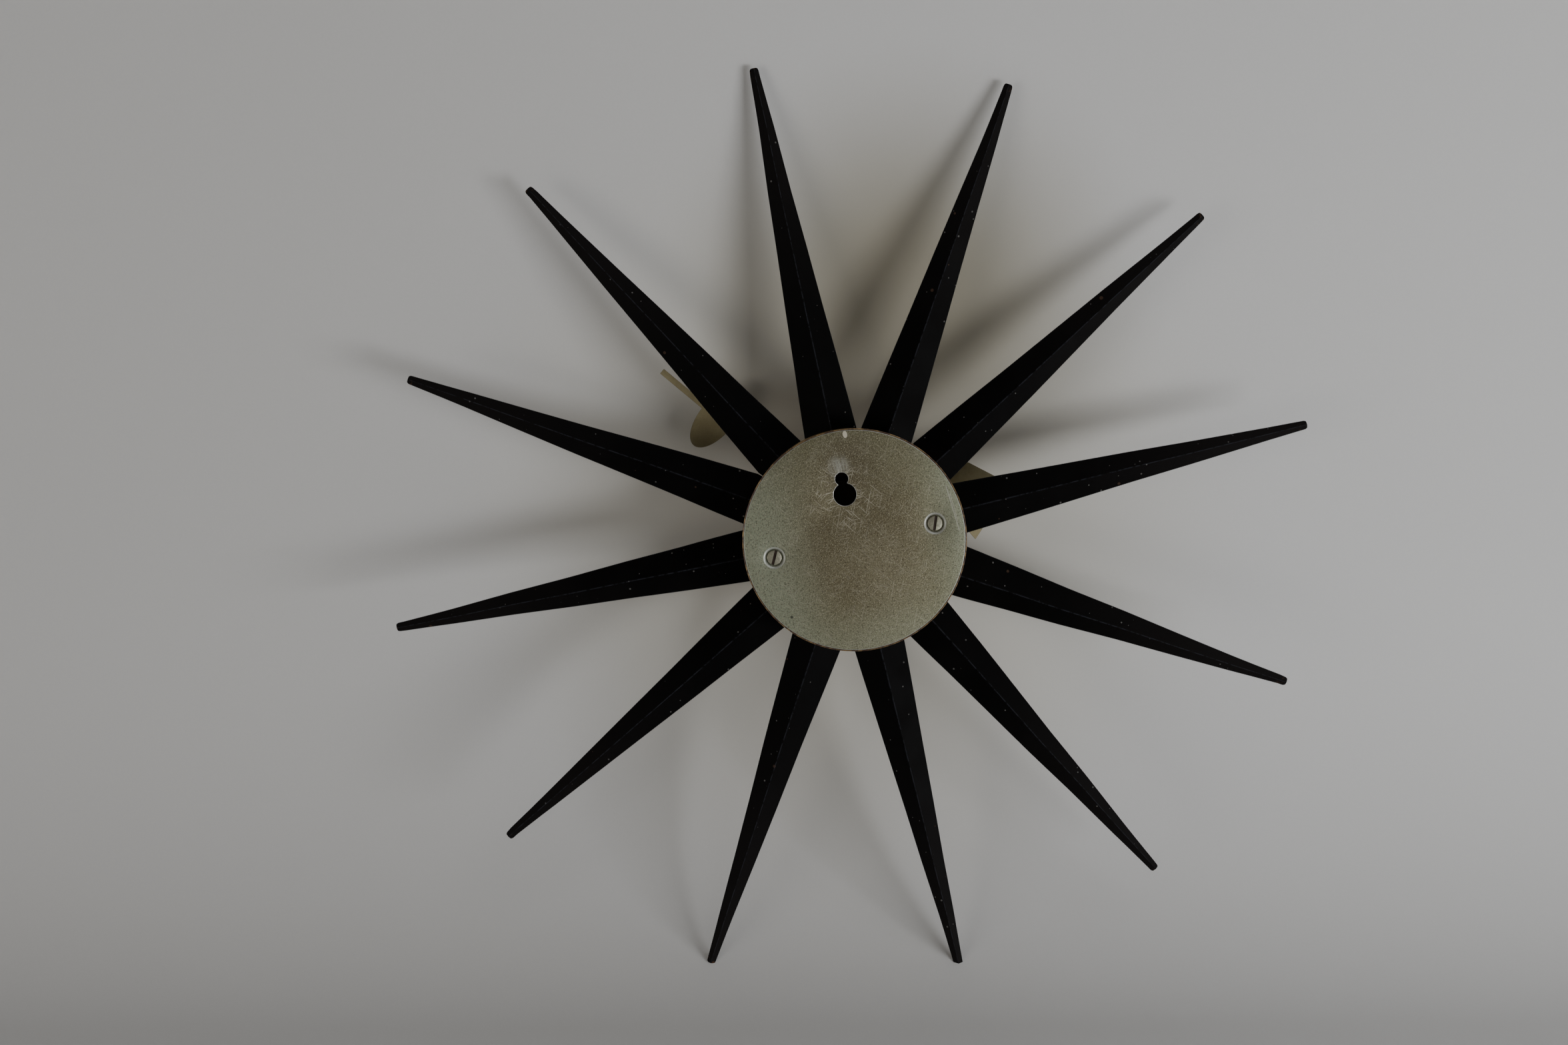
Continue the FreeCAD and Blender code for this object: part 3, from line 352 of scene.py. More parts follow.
def build_speckle():
    """Fine mottling and broad stains, both from 0 to 1."""
    group, start, end = new_group("speckle and stains", [
        ("Place", VECTOR, (0, 0, 0)), ("Grain", FLOAT, 1500.0), ("Patch", FLOAT, 40.0),
    ], [("Fine", FLOAT), ("Stain", FLOAT)])
    fine = noise(group, start.outputs["Place"], start.outputs["Grain"], 4.0, 0.7)
    broad = noise(group, start.outputs["Place"], start.outputs["Patch"], 5.0, 0.6)
    group.links.new(fade(group, fine, 0.35, 0.68), end.inputs["Fine"])
    group.links.new(fade(group, broad, 0.38, 0.64), end.inputs["Stain"])
    return group


def speckle(tree, place, grain, patch):
    """The fine and the broad mask of the speckle group, at a grain and a patch size."""
    made = place_group(tree, speckle_group, {"Place": place, "Grain": grain, "Patch": patch})
    return made.outputs["Fine"], made.outputs["Stain"]


def build_scratches():
    """Thin lines in five directions: 1 on a line and 0 between them."""
    group, start, end = new_group("scratches", [
        ("Place", VECTOR, (0, 0, 0)), ("Amount", FLOAT, 0.5),
    ], [("Mask", FLOAT)])
    total = None
    for turn, across, along in (
        (0.4, 1900.0, 75.0), (1.5, 2300.0, 95.0), (2.5, 1700.0, 65.0),
        (0.95, 2100.0, 120.0), (2.0, 2400.0, 85.0),
    ):
        place = stretch(group, start.outputs["Place"], turn, (across, 600.0, along))
        lines = noise(group, place, 1.0, 1.0, 0.5)
        line = fade(group, lines, 0.66, 0.69)
        total = line if total is None else calculate(group, "MAXIMUM", total, line)
    mask = times(group, total, start.outputs["Amount"], clamp=True)
    group.links.new(mask, end.inputs["Mask"])
    return group


def build_dust():
    """Small round specks, far apart."""
    group, start, end = new_group("dust specks", [
        ("Place", VECTOR, (0, 0, 0)), ("Spacing", FLOAT, 220.0), ("Size", FLOAT, 0.1),
    ], [("Mask", FLOAT)])
    inputs = {"Vector": start.outputs["Place"], "Scale": start.outputs["Spacing"], "Randomness": 1.0}
    cells = add(group, "ShaderNodeTexVoronoi", inputs)
    chance = add(group, "ShaderNodeSeparateColor", {"Color": cells.outputs["Color"]}).outputs["Red"]
    size = times(group, calculate(group, "POWER", chance, 5.0), start.outputs["Size"])
    speck = calculate(group, "LESS_THAN", cells.outputs["Distance"], size)
    group.links.new(speck, end.inputs["Mask"])
    return group


speckle_group, scratch_group, dust_group = build_speckle(), build_scratches(), build_dust()
print("node groups:", len(bpy.data.node_groups))

# %% [markdown]
# ## Black lacquer on wood
#
# The rays are wood under a near-black lacquer that has gone dull: a dark base with little gloss, a faint
# grain along the ray, and a slightly lighter tone towards the tips. Where the lacquer wore off at the
# tips, brown wood shows; along the ridges a pale line is a painted highlight. The rays carry their own grain
# coordinates in a UV map, so that the grain follows each ray.

# %% Lacquer material


def lacquered_wood():
    material, tree, shader = new_material("lacquered_wood")
    grain_place = add(tree, "ShaderNodeUVMap", uv_map="grain").outputs["UV"]
    long_place = mapped(tree, grain_place, Scale=(40.0, 1400.0, 1.0))
    grain = noise(tree, long_place, 1.0, 3.0, 0.6)
    place = object_place(tree)
    waves = noise(tree, place, 45.0, 2.0, 0.5)
    edge = own_value(tree, "edge")
    tip = own_value(tree, "tip")
    break_up = noise(tree, place, 420.0, 4.0, 0.65)
    # A painted highlight along the ridges and side corners, broken up by noise.
    painted_ridge_highlight = times(tree, edge, fade(tree, break_up, 0.38, 0.55))
    worn_tip = times(tree, tip, fade(tree, break_up, 0.58, 0.66))
    dust = place_group(tree, dust_group, {"Place": place, "Spacing": 330.0, "Size": 0.17}).outputs["Mask"]
    chips = place_group(tree, dust_group, {"Place": place, "Spacing": 110.0, "Size": 0.10}).outputs["Mask"]
    base = mix_colour(tree, grain, colour(0.0008, 0.0007, 0.0007), colour(0.0016, 0.0015, 0.0014))
    base = mix_colour(tree, fade(tree, waves, 0.4, 0.7), base, colour(0.0022, 0.0020, 0.0019))
    outward = fade(tree, distance(tree, place, (0.0, 0.0, 0.0)), 90 * MM, 230 * MM)
    base = layers(
        tree, base,
        (outward, 0.8, (0.0094, 0.0082, 0.0080)),
        (painted_ridge_highlight, 0.55, (0.040, 0.043, 0.055)),
        (worn_tip, 1.0, (0.085, 0.045, 0.028)),
        (chips, 0.4, (0.10, 0.06, 0.04)),
        (dust, 0.6, (0.16, 0.155, 0.15)),
    )
    rough = mix_value(tree, fade(tree, waves, 0.35, 0.7), 0.52, 0.62)
    rough = mix_value(tree, calculate(tree, "MAXIMUM", painted_ridge_highlight, worn_tip), rough, 0.6)
    height = calculate(tree, "ADD", times(tree, grain, 0.35), waves)
    set_inputs(tree, shader, {
        "Base Color": base, "Roughness": rough, "Normal": bump(tree, height, 0.12, 0.0006),
        "Specular IOR Level": 0.045,
    })
    return material


lacquer = lacquered_wood()
print("made", lacquer.name)

# %% [markdown]
# ## The plate's sheet metal
#
# The back plate is dull grey sheet metal, darker and browner in the middle and a little greener near the
# rim. Painted light makes it lighter and greener towards its left and right sides and at its bottom, and
# painted shade darkens its top. Fine scratches gather round the keyhole, where a nail missed the hole for
# years, and one long pair of scratches lies near the rim. The rounded edges of the rim, the keyhole and the
# pressed dimples carry a painted highlight, and the walls of the holes a painted shade: the plate carries an
# `edge` value on its own points for that.

# %% Plate material


def spot(tree, place, point, inner, outer):
    """1 within inner of a point, fading to 0 at outer."""
    return fade(tree, distance(tree, place, point), outer, inner)


def line_mask(tree, place, start, end, width):
    """1 along a thin straight line between two points of the plate, 0 away from it."""
    start, end = Vector(start), Vector(end)
    middle, along = (start + end) / 2, (end - start)
    turn = math.atan2(along.z, along.x)
    local = mapped(tree, mapped(tree, place, Location=-middle), Rotation=(0.0, turn, 0.0))
    parts = add(tree, "ShaderNodeSeparateXYZ", {"Vector": local})
    across = calculate(tree, "ABSOLUTE", parts.outputs["Z"])
    far = calculate(tree, "ABSOLUTE", parts.outputs["X"])
    thin = fade(tree, across, width, width * 0.4)
    short = fade(tree, far, along.length / 2, along.length / 2 - 2 * MM)
    return times(tree, thin, short)


def plate_sheet():
    material, tree, shader = new_material("plate_metal")
    place = object_place(tree)
    fine, stain = speckle(tree, place, 1300.0, 34.0)
    outward = fade(tree, distance(tree, place, (0.0, 0.0, 0.0)), 18 * MM, 54 * MM)
    near_keyhole = spot(tree, place, (0.0, 0.0, entry_height), 6 * MM, 21 * MM)
    # Painted light: the plate is lighter and greener towards its left and right sides, more on the +X side.
    moved = mapped(tree, place, Location=(8 * MM, 0.0, 0.0))
    sides = fade(tree, calculate(tree, "ABSOLUTE", part(tree, moved, "X")), 20 * MM, 54 * MM)
    # Painted shade darkens the top of the plate, and painted light lightens its bottom.
    height_on_plate = part(tree, place, "Z")
    painted_shade_top = fade(tree, height_on_plate, 20 * MM, 50 * MM)
    painted_light_bottom = fade(tree, height_on_plate, -28 * MM, -54 * MM)
    brown = spot(tree, place, (-4.0 * MM, 0.0, 37.0 * MM), 5 * MM, 21 * MM)
    mottle = fade(tree, noise(tree, place, 420.0, 4.0, 0.7), 0.42, 0.60)
    grain = fade(tree, noise(tree, place, 1700.0, 3.0, 0.8), 0.535, 0.60)
    pits = fade(tree, noise(tree, place, 1100.0, 3.0, 0.8), 0.46, 0.40)
    worn = calculate(tree, "ADD", times(tree, near_keyhole, 0.85), 0.28)
    scratched = place_group(tree, scratch_group, {"Place": place, "Amount": worn}).outputs["Mask"]
    fan = spot(tree, place, (0.0, 0.0, seat_height + 6.0 * MM), 1.0 * MM, 7.5 * MM)
    streaks = noise(tree, stretch(tree, place, 0.0, (900.0, 1.0, 60.0)), 1.0, 2.0, 0.6)
    fan = times(tree, fan, fade(tree, streaks, 0.30, 0.62))
    long_one = line_mask(tree, place, (-48.9 * MM, 0, 18.2 * MM), (-51.2 * MM, 0, -6.9 * MM), 0.35 * MM)
    long_two = line_mask(tree, place, (-50.1 * MM, 0, 14.3 * MM), (-51.3 * MM, 0, -0.8 * MM), 0.22 * MM)
    longs = calculate(tree, "MAXIMUM", long_one, long_two)
    edge_value = own_value(tree, "edge")
    # Painted shade on the walls of the holes, where the edge value is below zero.
    painted_shade_hole_walls = fade(tree, edge_value, 0.0, -0.6)
    # Painted highlight on the rounded edges of the rim and the keyhole and on the dimples' shoulders.
    edge = calculate(tree, "MAXIMUM", edge_value, 0.0, clamp=True)
    flattening = 0.62
    flattened = mapped(tree, place, Scale=(1.0, 1.0, flattening))
    chip = spot(tree, flattened, (-6.0 * MM, 0.0, 51.9 * flattening * MM), 0.95 * MM, 1.2 * MM)
    drip = spot(tree, place, (38.0 * MM, 0.0, -30.5 * MM), 0.5 * MM, 0.9 * MM)
    base = mix_colour(tree, stain, colour(0.122, 0.102, 0.054), colour(0.160, 0.140, 0.082))
    base = layers(
        tree, base,
        (outward, 0.6, (0.178, 0.178, 0.104)),
        (sides, 0.85, (0.250, 0.280, 0.205)),
        (painted_shade_top, 0.35, (0.105, 0.092, 0.055)),
        (painted_light_bottom, 0.32, (0.300, 0.330, 0.245)),
        (brown, 0.5, (0.090, 0.068, 0.040)),
        (mottle, 0.15, (0.060, 0.047, 0.026)),
        (grain, 0.74, (0.40, 0.385, 0.265)),
        (pits, 0.65, (0.042, 0.033, 0.016)),
        (scratched, 0.85, (0.46, 0.44, 0.36)),
        (fan, 0.62, (0.36, 0.37, 0.33)),
        (longs, 0.5, (0.42, 0.41, 0.36)),
        (edge, 0.75, (0.66, 0.68, 0.66)),
        (painted_shade_hole_walls, 1.0, (0.03, 0.026, 0.02)),
        (chip, 1.0, (0.62, 0.58, 0.47)),
        (drip, 0.8, (0.02, 0.018, 0.015)),
    )
    rough = mix_value(tree, fine, 0.48, 0.60)
    rough = mix_value(tree, edge, mix_value(tree, stain, rough, 0.52), 0.34)
    height = calculate(tree, "ADD", fine, times(tree, scratched, -0.8))
    set_inputs(tree, shader, {
        "Base Color": base, "Roughness": rough, "Metallic": 0.55,
        "Normal": bump(tree, height, 0.15, 0.0002),
    })
    return material


plate_metal = plate_sheet()
print("made", plate_metal.name)

# %% [markdown]
# ## Brass
#
# The drum is spun, so the tool left rings round its axis. A ring pattern needs only the distance from the
# axis: noise on that one number gives rings, and they go into the roughness and a shallow bump. The same
# brass, with more or less tarnish, does for the washer, the nuts, the posts and the hands.

# %% Brass materials


def ring_place(tree, place):
    """A place made of the distance from the clock's axis and the depth, so noise on it makes rings."""
    parts = add(tree, "ShaderNodeSeparateXYZ", {"Vector": place})
    flat = add(tree, "ShaderNodeCombineXYZ", {"X": parts.outputs["X"], "Z": parts.outputs["Z"]}).outputs[0]
    radius = add(tree, "ShaderNodeVectorMath", {0: flat}, operation="LENGTH").outputs["Value"]
    return add(tree, "ShaderNodeCombineXYZ", {"X": radius, "Z": parts.outputs["Y"]}).outputs[0]


def brass(name, bright, dark, tarnish, rough, rings=0.0, metal=1.0, worn_edge=False, lip=None):
    """Brass of two tones: tarnish is how much of the dark one shows; rings adds turning marks.

    A worn edge is red-brown where the piece carries an edge value, and a lip darkens up to that depth.
    """
    material, tree, shader = new_material(name)
    place = object_place(tree)
    fine, stain = speckle(tree, place, 900.0, 60.0)
    lines = noise(tree, ring_place(tree, place), 2600.0, 2.0, 0.5)
    share = calculate(tree, "ADD", times(tree, stain, tarnish * 0.7),
                      times(tree, fine, tarnish * 0.3), clamp=True)
    base = mix_colour(tree, share, colour(*bright), colour(*dark))
    scratched = place_group(tree, scratch_group, {"Place": place, "Amount": 0.25}).outputs["Mask"]
    base = layers(tree, base, (scratched, 0.4, [min(1.0, tone * 1.4) for tone in bright]))
    metallic = metal
    if worn_edge:
        edge = times(tree, own_value(tree, "edge"), 0.8)
        base = mix_colour(tree, edge, base, colour(0.085, 0.035, 0.018))
    if lip:
        near_lip = fade(tree, part(tree, place, "Y"), -lip - 1.5 * MM, -lip)
        patchy = fade(tree, noise(tree, place, 260.0, 4.0, 0.7), 0.62, 0.42)
        half_covered = calculate(tree, "ADD", times(tree, patchy, 0.5), 0.5)
        brown = times(tree, near_lip, half_covered)
        base = mix_colour(tree, brown, base, colour(0.060, 0.030, 0.016))
        metallic = mix_value(tree, brown, metal, 0.15)
    roughness = mix_value(tree, stain, rough, rough + 0.14)
    roughness = calculate(tree, "ADD", roughness, times(tree, lines, 0.12 * rings))
    grain = times(tree, fine, 0.2)
    height = calculate(tree, "ADD", times(tree, lines, rings), grain)
    set_inputs(tree, shader, {
        "Base Color": base, "Roughness": roughness, "Metallic": metallic,
        "Normal": bump(tree, height, 0.10, 0.0002),
    })
    return material


slot_materials = {"plate_metal": plate_metal, "lacquered_wood": lacquer}
for name, bright, dark, tarnish, rough, more in (
    ("drum_brass", (0.62, 0.44, 0.20), (0.30, 0.19, 0.08), 0.55, 0.26, {"rings": 1.0, "lip": 2.0 * MM}),
    ("fitting_brass", (0.66, 0.49, 0.24), (0.36, 0.24, 0.11), 0.4, 0.24, {"rings": 0.6}),
    ("hand_brass", (0.37, 0.325, 0.18), (0.25, 0.205, 0.105), 0.6, 0.55, {"metal": 0.2, "worn_edge": True}),
    ("gear_brass", (0.68, 0.52, 0.26), (0.45, 0.32, 0.15), 0.3, 0.30, {"rings": 0.5}),
    ("post_brass", (0.60, 0.45, 0.22), (0.34, 0.23, 0.10), 0.4, 0.3, {"rings": 0.8}),
):
    slot_materials[name] = brass(name, bright, dark, tarnish, rough, **more)
print("brass:", [name for name in slot_materials if "brass" in name])

# %% [markdown]
# ## Steel, plastics and the rest
#
# Inside the drum are moulded plastic wheels, steel arbors, a battery and a coil. Each gets its own small
# recipe: steel with fine drawing lines, plastic with a matt moulded grain, copper wire as a wave along
# the winding.

# %% Steel, plastic and other materials


def steel(name, base, rough, rust=0.0, slotted=False):
    """Steel with fine marks; rust is how much brown shows in patches, and also fills a head's slot."""
    material, tree, shader = new_material(name)
    fine, stain = speckle(tree, object_place(tree), 1800.0, 260.0)
    tone = mix_colour(tree, fine, colour(*base), colour(*[tone * 0.7 for tone in base]))
    patches = times(tree, stain, rust, clamp=True)
    if slotted:
        patches = calculate(tree, "MAXIMUM", patches, own_value(tree, "slot"))
    tone = mix_colour(tree, patches, tone, colour(0.026, 0.012, 0.005))
    set_inputs(tree, shader, {
        "Base Color": tone, "Roughness": mix_value(tree, fine, rough, rough + 0.15),
        "Metallic": mix_value(tree, patches, 1.0, 0.1),
        "Normal": bump(tree, fine, 0.1, 0.0001),
    })
    return material


def moulded(name, base, rough, gloss):
    """Moulded plastic or rubber: one colour, a fine matt grain and slight unevenness."""
    material, tree, shader = new_material(name)
    fine, stain = speckle(tree, object_place(tree), 2400.0, 90.0)
    tone = layers(tree, colour(*base), (stain, 0.35, [tone * 0.72 for tone in base]))
    set_inputs(tree, shader, {
        "Base Color": tone, "Roughness": mix_value(tree, fine, rough, rough + 0.12),
        "Normal": bump(tree, fine, 0.18, 0.0001), "Specular IOR Level": gloss,
    })
    return material


def copper_winding():
    """Enamelled wire: fine turns as a wave along the coil's length."""
    material, tree, shader = new_material("copper")
    inputs = {"Vector": object_place(tree), "Scale": 1600.0, "Distortion": 1.2, "Detail": 1.0}
    turns = add(tree, "ShaderNodeTexWave", inputs, bands_direction="Z").outputs["Fac"]
    base = mix_colour(tree, turns, colour(0.20, 0.06, 0.02), colour(0.62, 0.25, 0.09))
    set_inputs(tree, shader, {
        "Base Color": base, "Roughness": mix_value(tree, turns, 0.45, 0.28), "Metallic": 0.8,
        "Normal": bump(tree, turns, 0.4, 0.0001),
    })
    return material


slot_materials["copper"] = copper_winding()
for name, tone, rough, more in (
    ("steel", (0.52, 0.52, 0.53), 0.28, {}),
    ("screw_steel", (0.40, 0.39, 0.30), 0.42, {"rust": 0.3, "slotted": True}),
    ("contact_steel", (0.60, 0.60, 0.57), 0.25, {}),
    ("soft_iron", (0.30, 0.30, 0.31), 0.45, {"rust": 0.1}),
    ("can_metal", (0.65, 0.65, 0.66), 0.2, {}),
):
    slot_materials[name] = steel(name, tone, rough, **more)
for name, tone, rough, gloss in (
    ("magnet", (0.05, 0.05, 0.052), 0.5, 0.4),
    ("rubber", (0.022, 0.022, 0.022), 0.7, 0.25),
    ("case_plastic", (0.03, 0.03, 0.032), 0.45, 0.4),
    ("cover_plastic", (0.42, 0.40, 0.34), 0.5, 0.4),
    ("bridge_plastic", (0.60, 0.58, 0.50), 0.5, 0.4),
    ("gear_plastic", (0.74, 0.71, 0.62), 0.42, 0.4),
    ("battery_jacket", (0.07, 0.08, 0.10), 0.3, 0.5),
    ("board", (0.03, 0.10, 0.045), 0.4, 0.4),
):
    slot_materials[name] = moulded(name, tone, rough, gloss)
print(len(slot_materials), "materials")

# %% Give every CAD node its material
for row in frame["record"]["subparts"]:
    mesh = frame["nodes"][row["node"]].data
    mesh.materials.clear()
    mesh.materials.append(slot_materials[row["material_slot"]])
print("painted", len(frame["nodes"]), "CAD nodes")


def finish_piece(piece, slot, body, *nodes):
    """Paints a piece, puts it on its body, and hides the CAD nodes that it stands for."""
    piece.data.materials.append(slot_materials[slot])
    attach(piece, body)
    if nodes:
        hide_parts(*nodes)
    return piece


# %% [markdown]
# ## The drum
#
# The drum is spun from one disc of brass. Its section is a thin wall: down the tapering side, round the
# front edge and in to the centre hole, then back along the inside. Turning that closed section about the
# axis gives a sealed shell with a softly rounded lip.

# %% Drum


def make_drum():
    slope = math.tan(drum_taper)
    front_radius = drum_radius - (drum_front - drum_lip) * slope
    hole = thread_hole_radius
    lip_round = drum_wall * 0.45
    inner_front = drum_front - drum_face_thickness
    profile = round_corners([
        (drum_radius, drum_lip, lip_round),
        (front_radius, drum_front, drum_edge_radius),
        (hole, drum_front, 0.15 * MM),
        (hole, inner_front, 0.1 * MM),
        (front_radius - drum_wall, inner_front, drum_edge_radius - drum_wall),
        (drum_radius - drum_wall, drum_lip, lip_round),
    ], steps=9)
    return finish_piece(turned("drum_shell", profile, segments=256), "drum_brass", "clock", "hub_cup")


drum = make_drum()
print("drum:", len(drum.data.polygons), "faces")

# %% [markdown]
# ## Flat sheets with holes
#
# The plate and the hands are cut from sheet. A sheet needs three things: a flat face with holes in it,
# the same face again on the other side, and a rounded edge along every outline. The faces come from a
# constrained triangulation: we give it the outlines, and keep the triangles that lie inside the sheet.
# Each outline is a loop of points with outward directions, so a rounded edge is the same loop moved in
# and down a little at a time.

# %% Sheet helper


def loop_normals(loop):
    """Directions that point to the right of a closed loop's travel, in its own plane, with mitred length."""
    ahead = np.roll(loop, -1, axis=0) - loop
    ahead /= np.linalg.norm(ahead, axis=1, keepdims=True)
    side = np.stack([ahead[:, 1], -ahead[:, 0]], axis=1)
    both = side + np.roll(side, 1, axis=0)
    both /= np.linalg.norm(both, axis=1, keepdims=True)
    reach = np.clip(np.einsum("ij,ij->i", both, side), 0.35, 1)
    return both / reach[:, None]


def anticlockwise(loop):
    """The loop, reversed if needed so that its right-hand side is its outside."""
    x, z = loop[:, 0], loop[:, 1]
    area = np.sum(x * np.roll(z, -1) - np.roll(x, -1) * z)
    return loop if area > 0 else loop[::-1]


def inside_loop(points, loop):
    """Whether each point lies inside a closed loop, by counting the edges crossed on one side."""
    x, z = points[:, 0][:, None], points[:, 1][:, None]
    x0, z0 = loop[:, 0], loop[:, 1]
    x1, z1 = np.roll(x0, -1), np.roll(z0, -1)
    crosses = (z0 > z) != (z1 > z)
    where = x0 + (z - z0) * (x1 - x0) / np.where(z1 == z0, 1e-12, z1 - z0)
    return (crosses & (x < where)).sum(axis=1) % 2 == 1


def fill_between(loops):
    """Triangles between an outer loop and the hole loops inside it, as indices into all their points."""
    points = np.concatenate(loops)
    edges, first = [], 0
    for loop in loops:
        index = first + np.arange(len(loop))
        edges += list(zip(index.tolist(), np.roll(index, -1).tolist()))
        first += len(loop)
    result = delaunay_2d_cdt([Vector(p) for p in points], edges, [], 0, 1e-9)
    triangles = np.array([face for face in result[2] if len(face) == 3])
    middle = points[triangles].mean(axis=1)
    keep = inside_loop(middle, loops[0])
    for hole in loops[1:]:
        keep &= ~inside_loop(middle, hole)
    return triangles[keep]


def sheet_piece(name, outlines, roundings, back, front, steps=4, carry_edge=False):
    """A flat sheet between two depths: the first outline is its rim and the others are holes.

    Each outline's edge is two quarter rounds: the loop moves in by r(1 - sin a) while it goes down by
    r(1 - cos a), for a from 0 to a right angle, and back again at the other face. An outline may also be a
    function that gives the loop for each such move.
    """
    loops = [anticlockwise(outline(0.0) if callable(outline) else outline) for outline in outlines]
    signs = [1.0] + [-1.0] * (len(loops) - 1)
    turn = np.linspace(0, np.pi / 2, steps)
    inset = np.concatenate([1 - np.sin(turn), (1 - np.cos(turn))])
    drop = np.concatenate([1 - np.cos(turn), np.sin(turn) - 1])
    points, faces, edges, rings, first = [], [], [], [], 0
    for outline, loop, sign, rounding in zip(outlines, loops, signs, roundings):
        if callable(outline):
            ring_set = np.array([anticlockwise(outline(rounding * step)) for step in inset])
        else:
            ring_set = np.array([loop - sign * rounding * step * loop_normals(loop) for step in inset])
        level = np.where(np.arange(len(inset)) < steps, back, front) + rounding * drop
        level = np.repeat(level[:, None], len(loop), axis=1)
        points.append(np.stack([ring_set[..., 0], -level, ring_set[..., 1]], axis=-1).reshape(-1, 3))
        faces += (grid_faces(len(inset), len(loop), True) + first).tolist()
        # The edge value is 1 on the back rounding and -1 from the side wall on; the plate paints a highlight
        # with the first and shade with the second.
        share = np.where(np.arange(len(inset)) < steps - 1, 1.0, -1.0) * (rounding > 0.1 * MM)
        share = np.repeat(share[:, None], len(loop), axis=1)
        share[0], share[-1] = 0.0, 0.0
        edges.append(share.reshape(-1))
        rings.append(ring_set)
        first += len(inset) * len(loop)
    starts = np.cumsum([0] + [len(inset) * len(ring_set[0]) for ring_set in rings])[:-1]
    for row, flip in ((0, True), (len(inset) - 1, False)):
        flat_loops = [ring_set[row] for ring_set in rings]
        triangles = fill_between(flat_loops)
        index = np.concatenate([start + row * len(loop) + np.arange(len(loop))
                                for start, loop in zip(starts, flat_loops)])
        found = index[triangles]
        faces += (found[:, ::-1] if flip else found).tolist()
    piece = make_mesh(name, np.concatenate(points), faces)
    if carry_edge:
        carry(piece, "edge", np.concatenate(edges))
    return piece


def consistent(piece):
    """Makes neighbouring faces agree on which side is out, then turns them all outwards."""
    mesh = bmesh.new()
    mesh.from_mesh(piece.data)
    bmesh.ops.recalc_face_normals(mesh, faces=mesh.faces)
    mesh.to_mesh(piece.data)
    mesh.free()
    return sharpen(turn_outwards(piece))


print("sheet helper ready")

# %% [markdown]
# ## The back plate
#
# The plate is a disc with a keyhole and two pressed dimples. The keyhole's outline is three pieces of
# arithmetic: most of a large circle, two straight sides of the neck, and most of a small circle above.
# The hole was punched, and its edge is a small round with a painted highlight on it. A dimple is a turned
# dish that joins the plate at a round shoulder, so it is made as a turned ring and the flat sheet leaves
# a hole for it.

# %% Back plate


def circle(radius, centre=(0.0, 0.0), count=128):
    """A closed circle of points."""
    angle = np.linspace(0, 2 * np.pi, count, endpoint=False)
    return np.stack([centre[0] + radius * np.cos(angle), centre[1] + radius * np.sin(angle)], axis=1)


def arc(radius, centre, start, end, count):
    """Points along an arc between two angles, both ends included."""
    angle = np.linspace(start, end, count)
    return np.stack([centre[0] + radius * np.cos(angle), centre[1] + radius * np.sin(angle)], axis=1)


def keyhole_outline(grow=0.0):
    """Most of a large circle below, most of a small one above, joined by the neck's straight sides.

    When the keyhole grows, its two circles may meet first: they cross at the half width sqrt(R^2 - z^2),
    with z = (d^2 + R^2 - r^2) / 2d above the large circle's middle, for circles R and r a distance d apart.
    """
    large, small, apart = entry_radius + grow, seat_radius + grow, seat_height - entry_height
    above = (apart ** 2 + large ** 2 - small ** 2) / (2 * apart)
    crossing = math.sqrt(max(large ** 2 - above ** 2, 0.0))
    half = max(neck_width / 2 + grow, crossing + 0.01 * MM)
    low, high = math.asin(half / large), math.asin(half / small)
    upward, downward = math.pi / 2, -math.pi / 2
    entry = arc(large, (0.0, entry_height), upward + low, upward - low + 2 * math.pi, 56)
    seat = arc(small, (0.0, seat_height), downward + high, downward - high + 2 * math.pi, 40)
    return np.concatenate([entry, seat])


screw_head_radius = (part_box("plate_screws")[1][2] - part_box("plate_screws")[0][2]) / 2
post_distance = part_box("plate_screws")[1][0] - screw_head_radius
dimple_radius = 4.9 * MM
dimple_depth = 1.6 * MM
screw_hole_radius = 1.6 * MM


def dimple_profile():
    """The dish's section: a round shoulder at the plate, down the slope to the floor and out to the hole."""
    floor_radius = screw_head_radius + 0.25 * MM
    return round_corners([
        (dimple_radius + 0.6 * MM, 0.0, 0.0),
        (dimple_radius - 0.2 * MM, 0.0, 1.4 * MM),
        (floor_radius, dimple_depth, 0.4 * MM),
        (screw_hole_radius, dimple_depth, 0.0),
        (screw_hole_radius, dimple_depth + plate_thickness, 0.0),
        (dimple_radius, dimple_depth + plate_thickness, 0.6 * MM),
        (dimple_radius + 0.6 * MM, plate_thickness, 0.0),
    ], steps=6)


def carry_edge_value(piece, bright_radius, centre):
    """Marks the shoulder of a dimple for a painted highlight, as a smooth hump of the distance from its
    middle.
    """
    points = mesh_points(piece.data)
    away = np.hypot(points[:, 0] - centre[0], points[:, 2] - centre[1])
    hump = 0.7 * np.exp(-((away - bright_radius) / (0.6 * MM)) ** 2)
    carry(piece, "edge", hump * (points[:, 1] > -dimple_depth * 0.7))


def make_plate():
    places = [(-post_distance, 0.0), (post_distance, 0.0)]
    outlines = [circle(plate_radius, count=256), keyhole_outline]
    outlines += [circle(dimple_radius + 0.6 * MM, place, 96) for place in places]
    roundings = [0.25 * MM, 0.26 * MM, 0.002 * MM, 0.002 * MM]
    sheet = sheet_piece("plate_sheet", outlines, roundings, 0.0, plate_thickness, steps=5, carry_edge=True)
    finish_piece(consistent(sheet), "plate_metal", "clock", "back_plate")
    for side, place in zip(("left", "right"), places):
        dish = turned("plate_dimple_" + side, dimple_profile(), segments=96, centre=place)
        carry_edge_value(dish, dimple_radius - 0.1 * MM, place)
        finish_piece(dish, "plate_metal", "clock", "back_plate")
    return sheet


plate = make_plate()
print("plate:", len(plate.data.polygons), "faces")

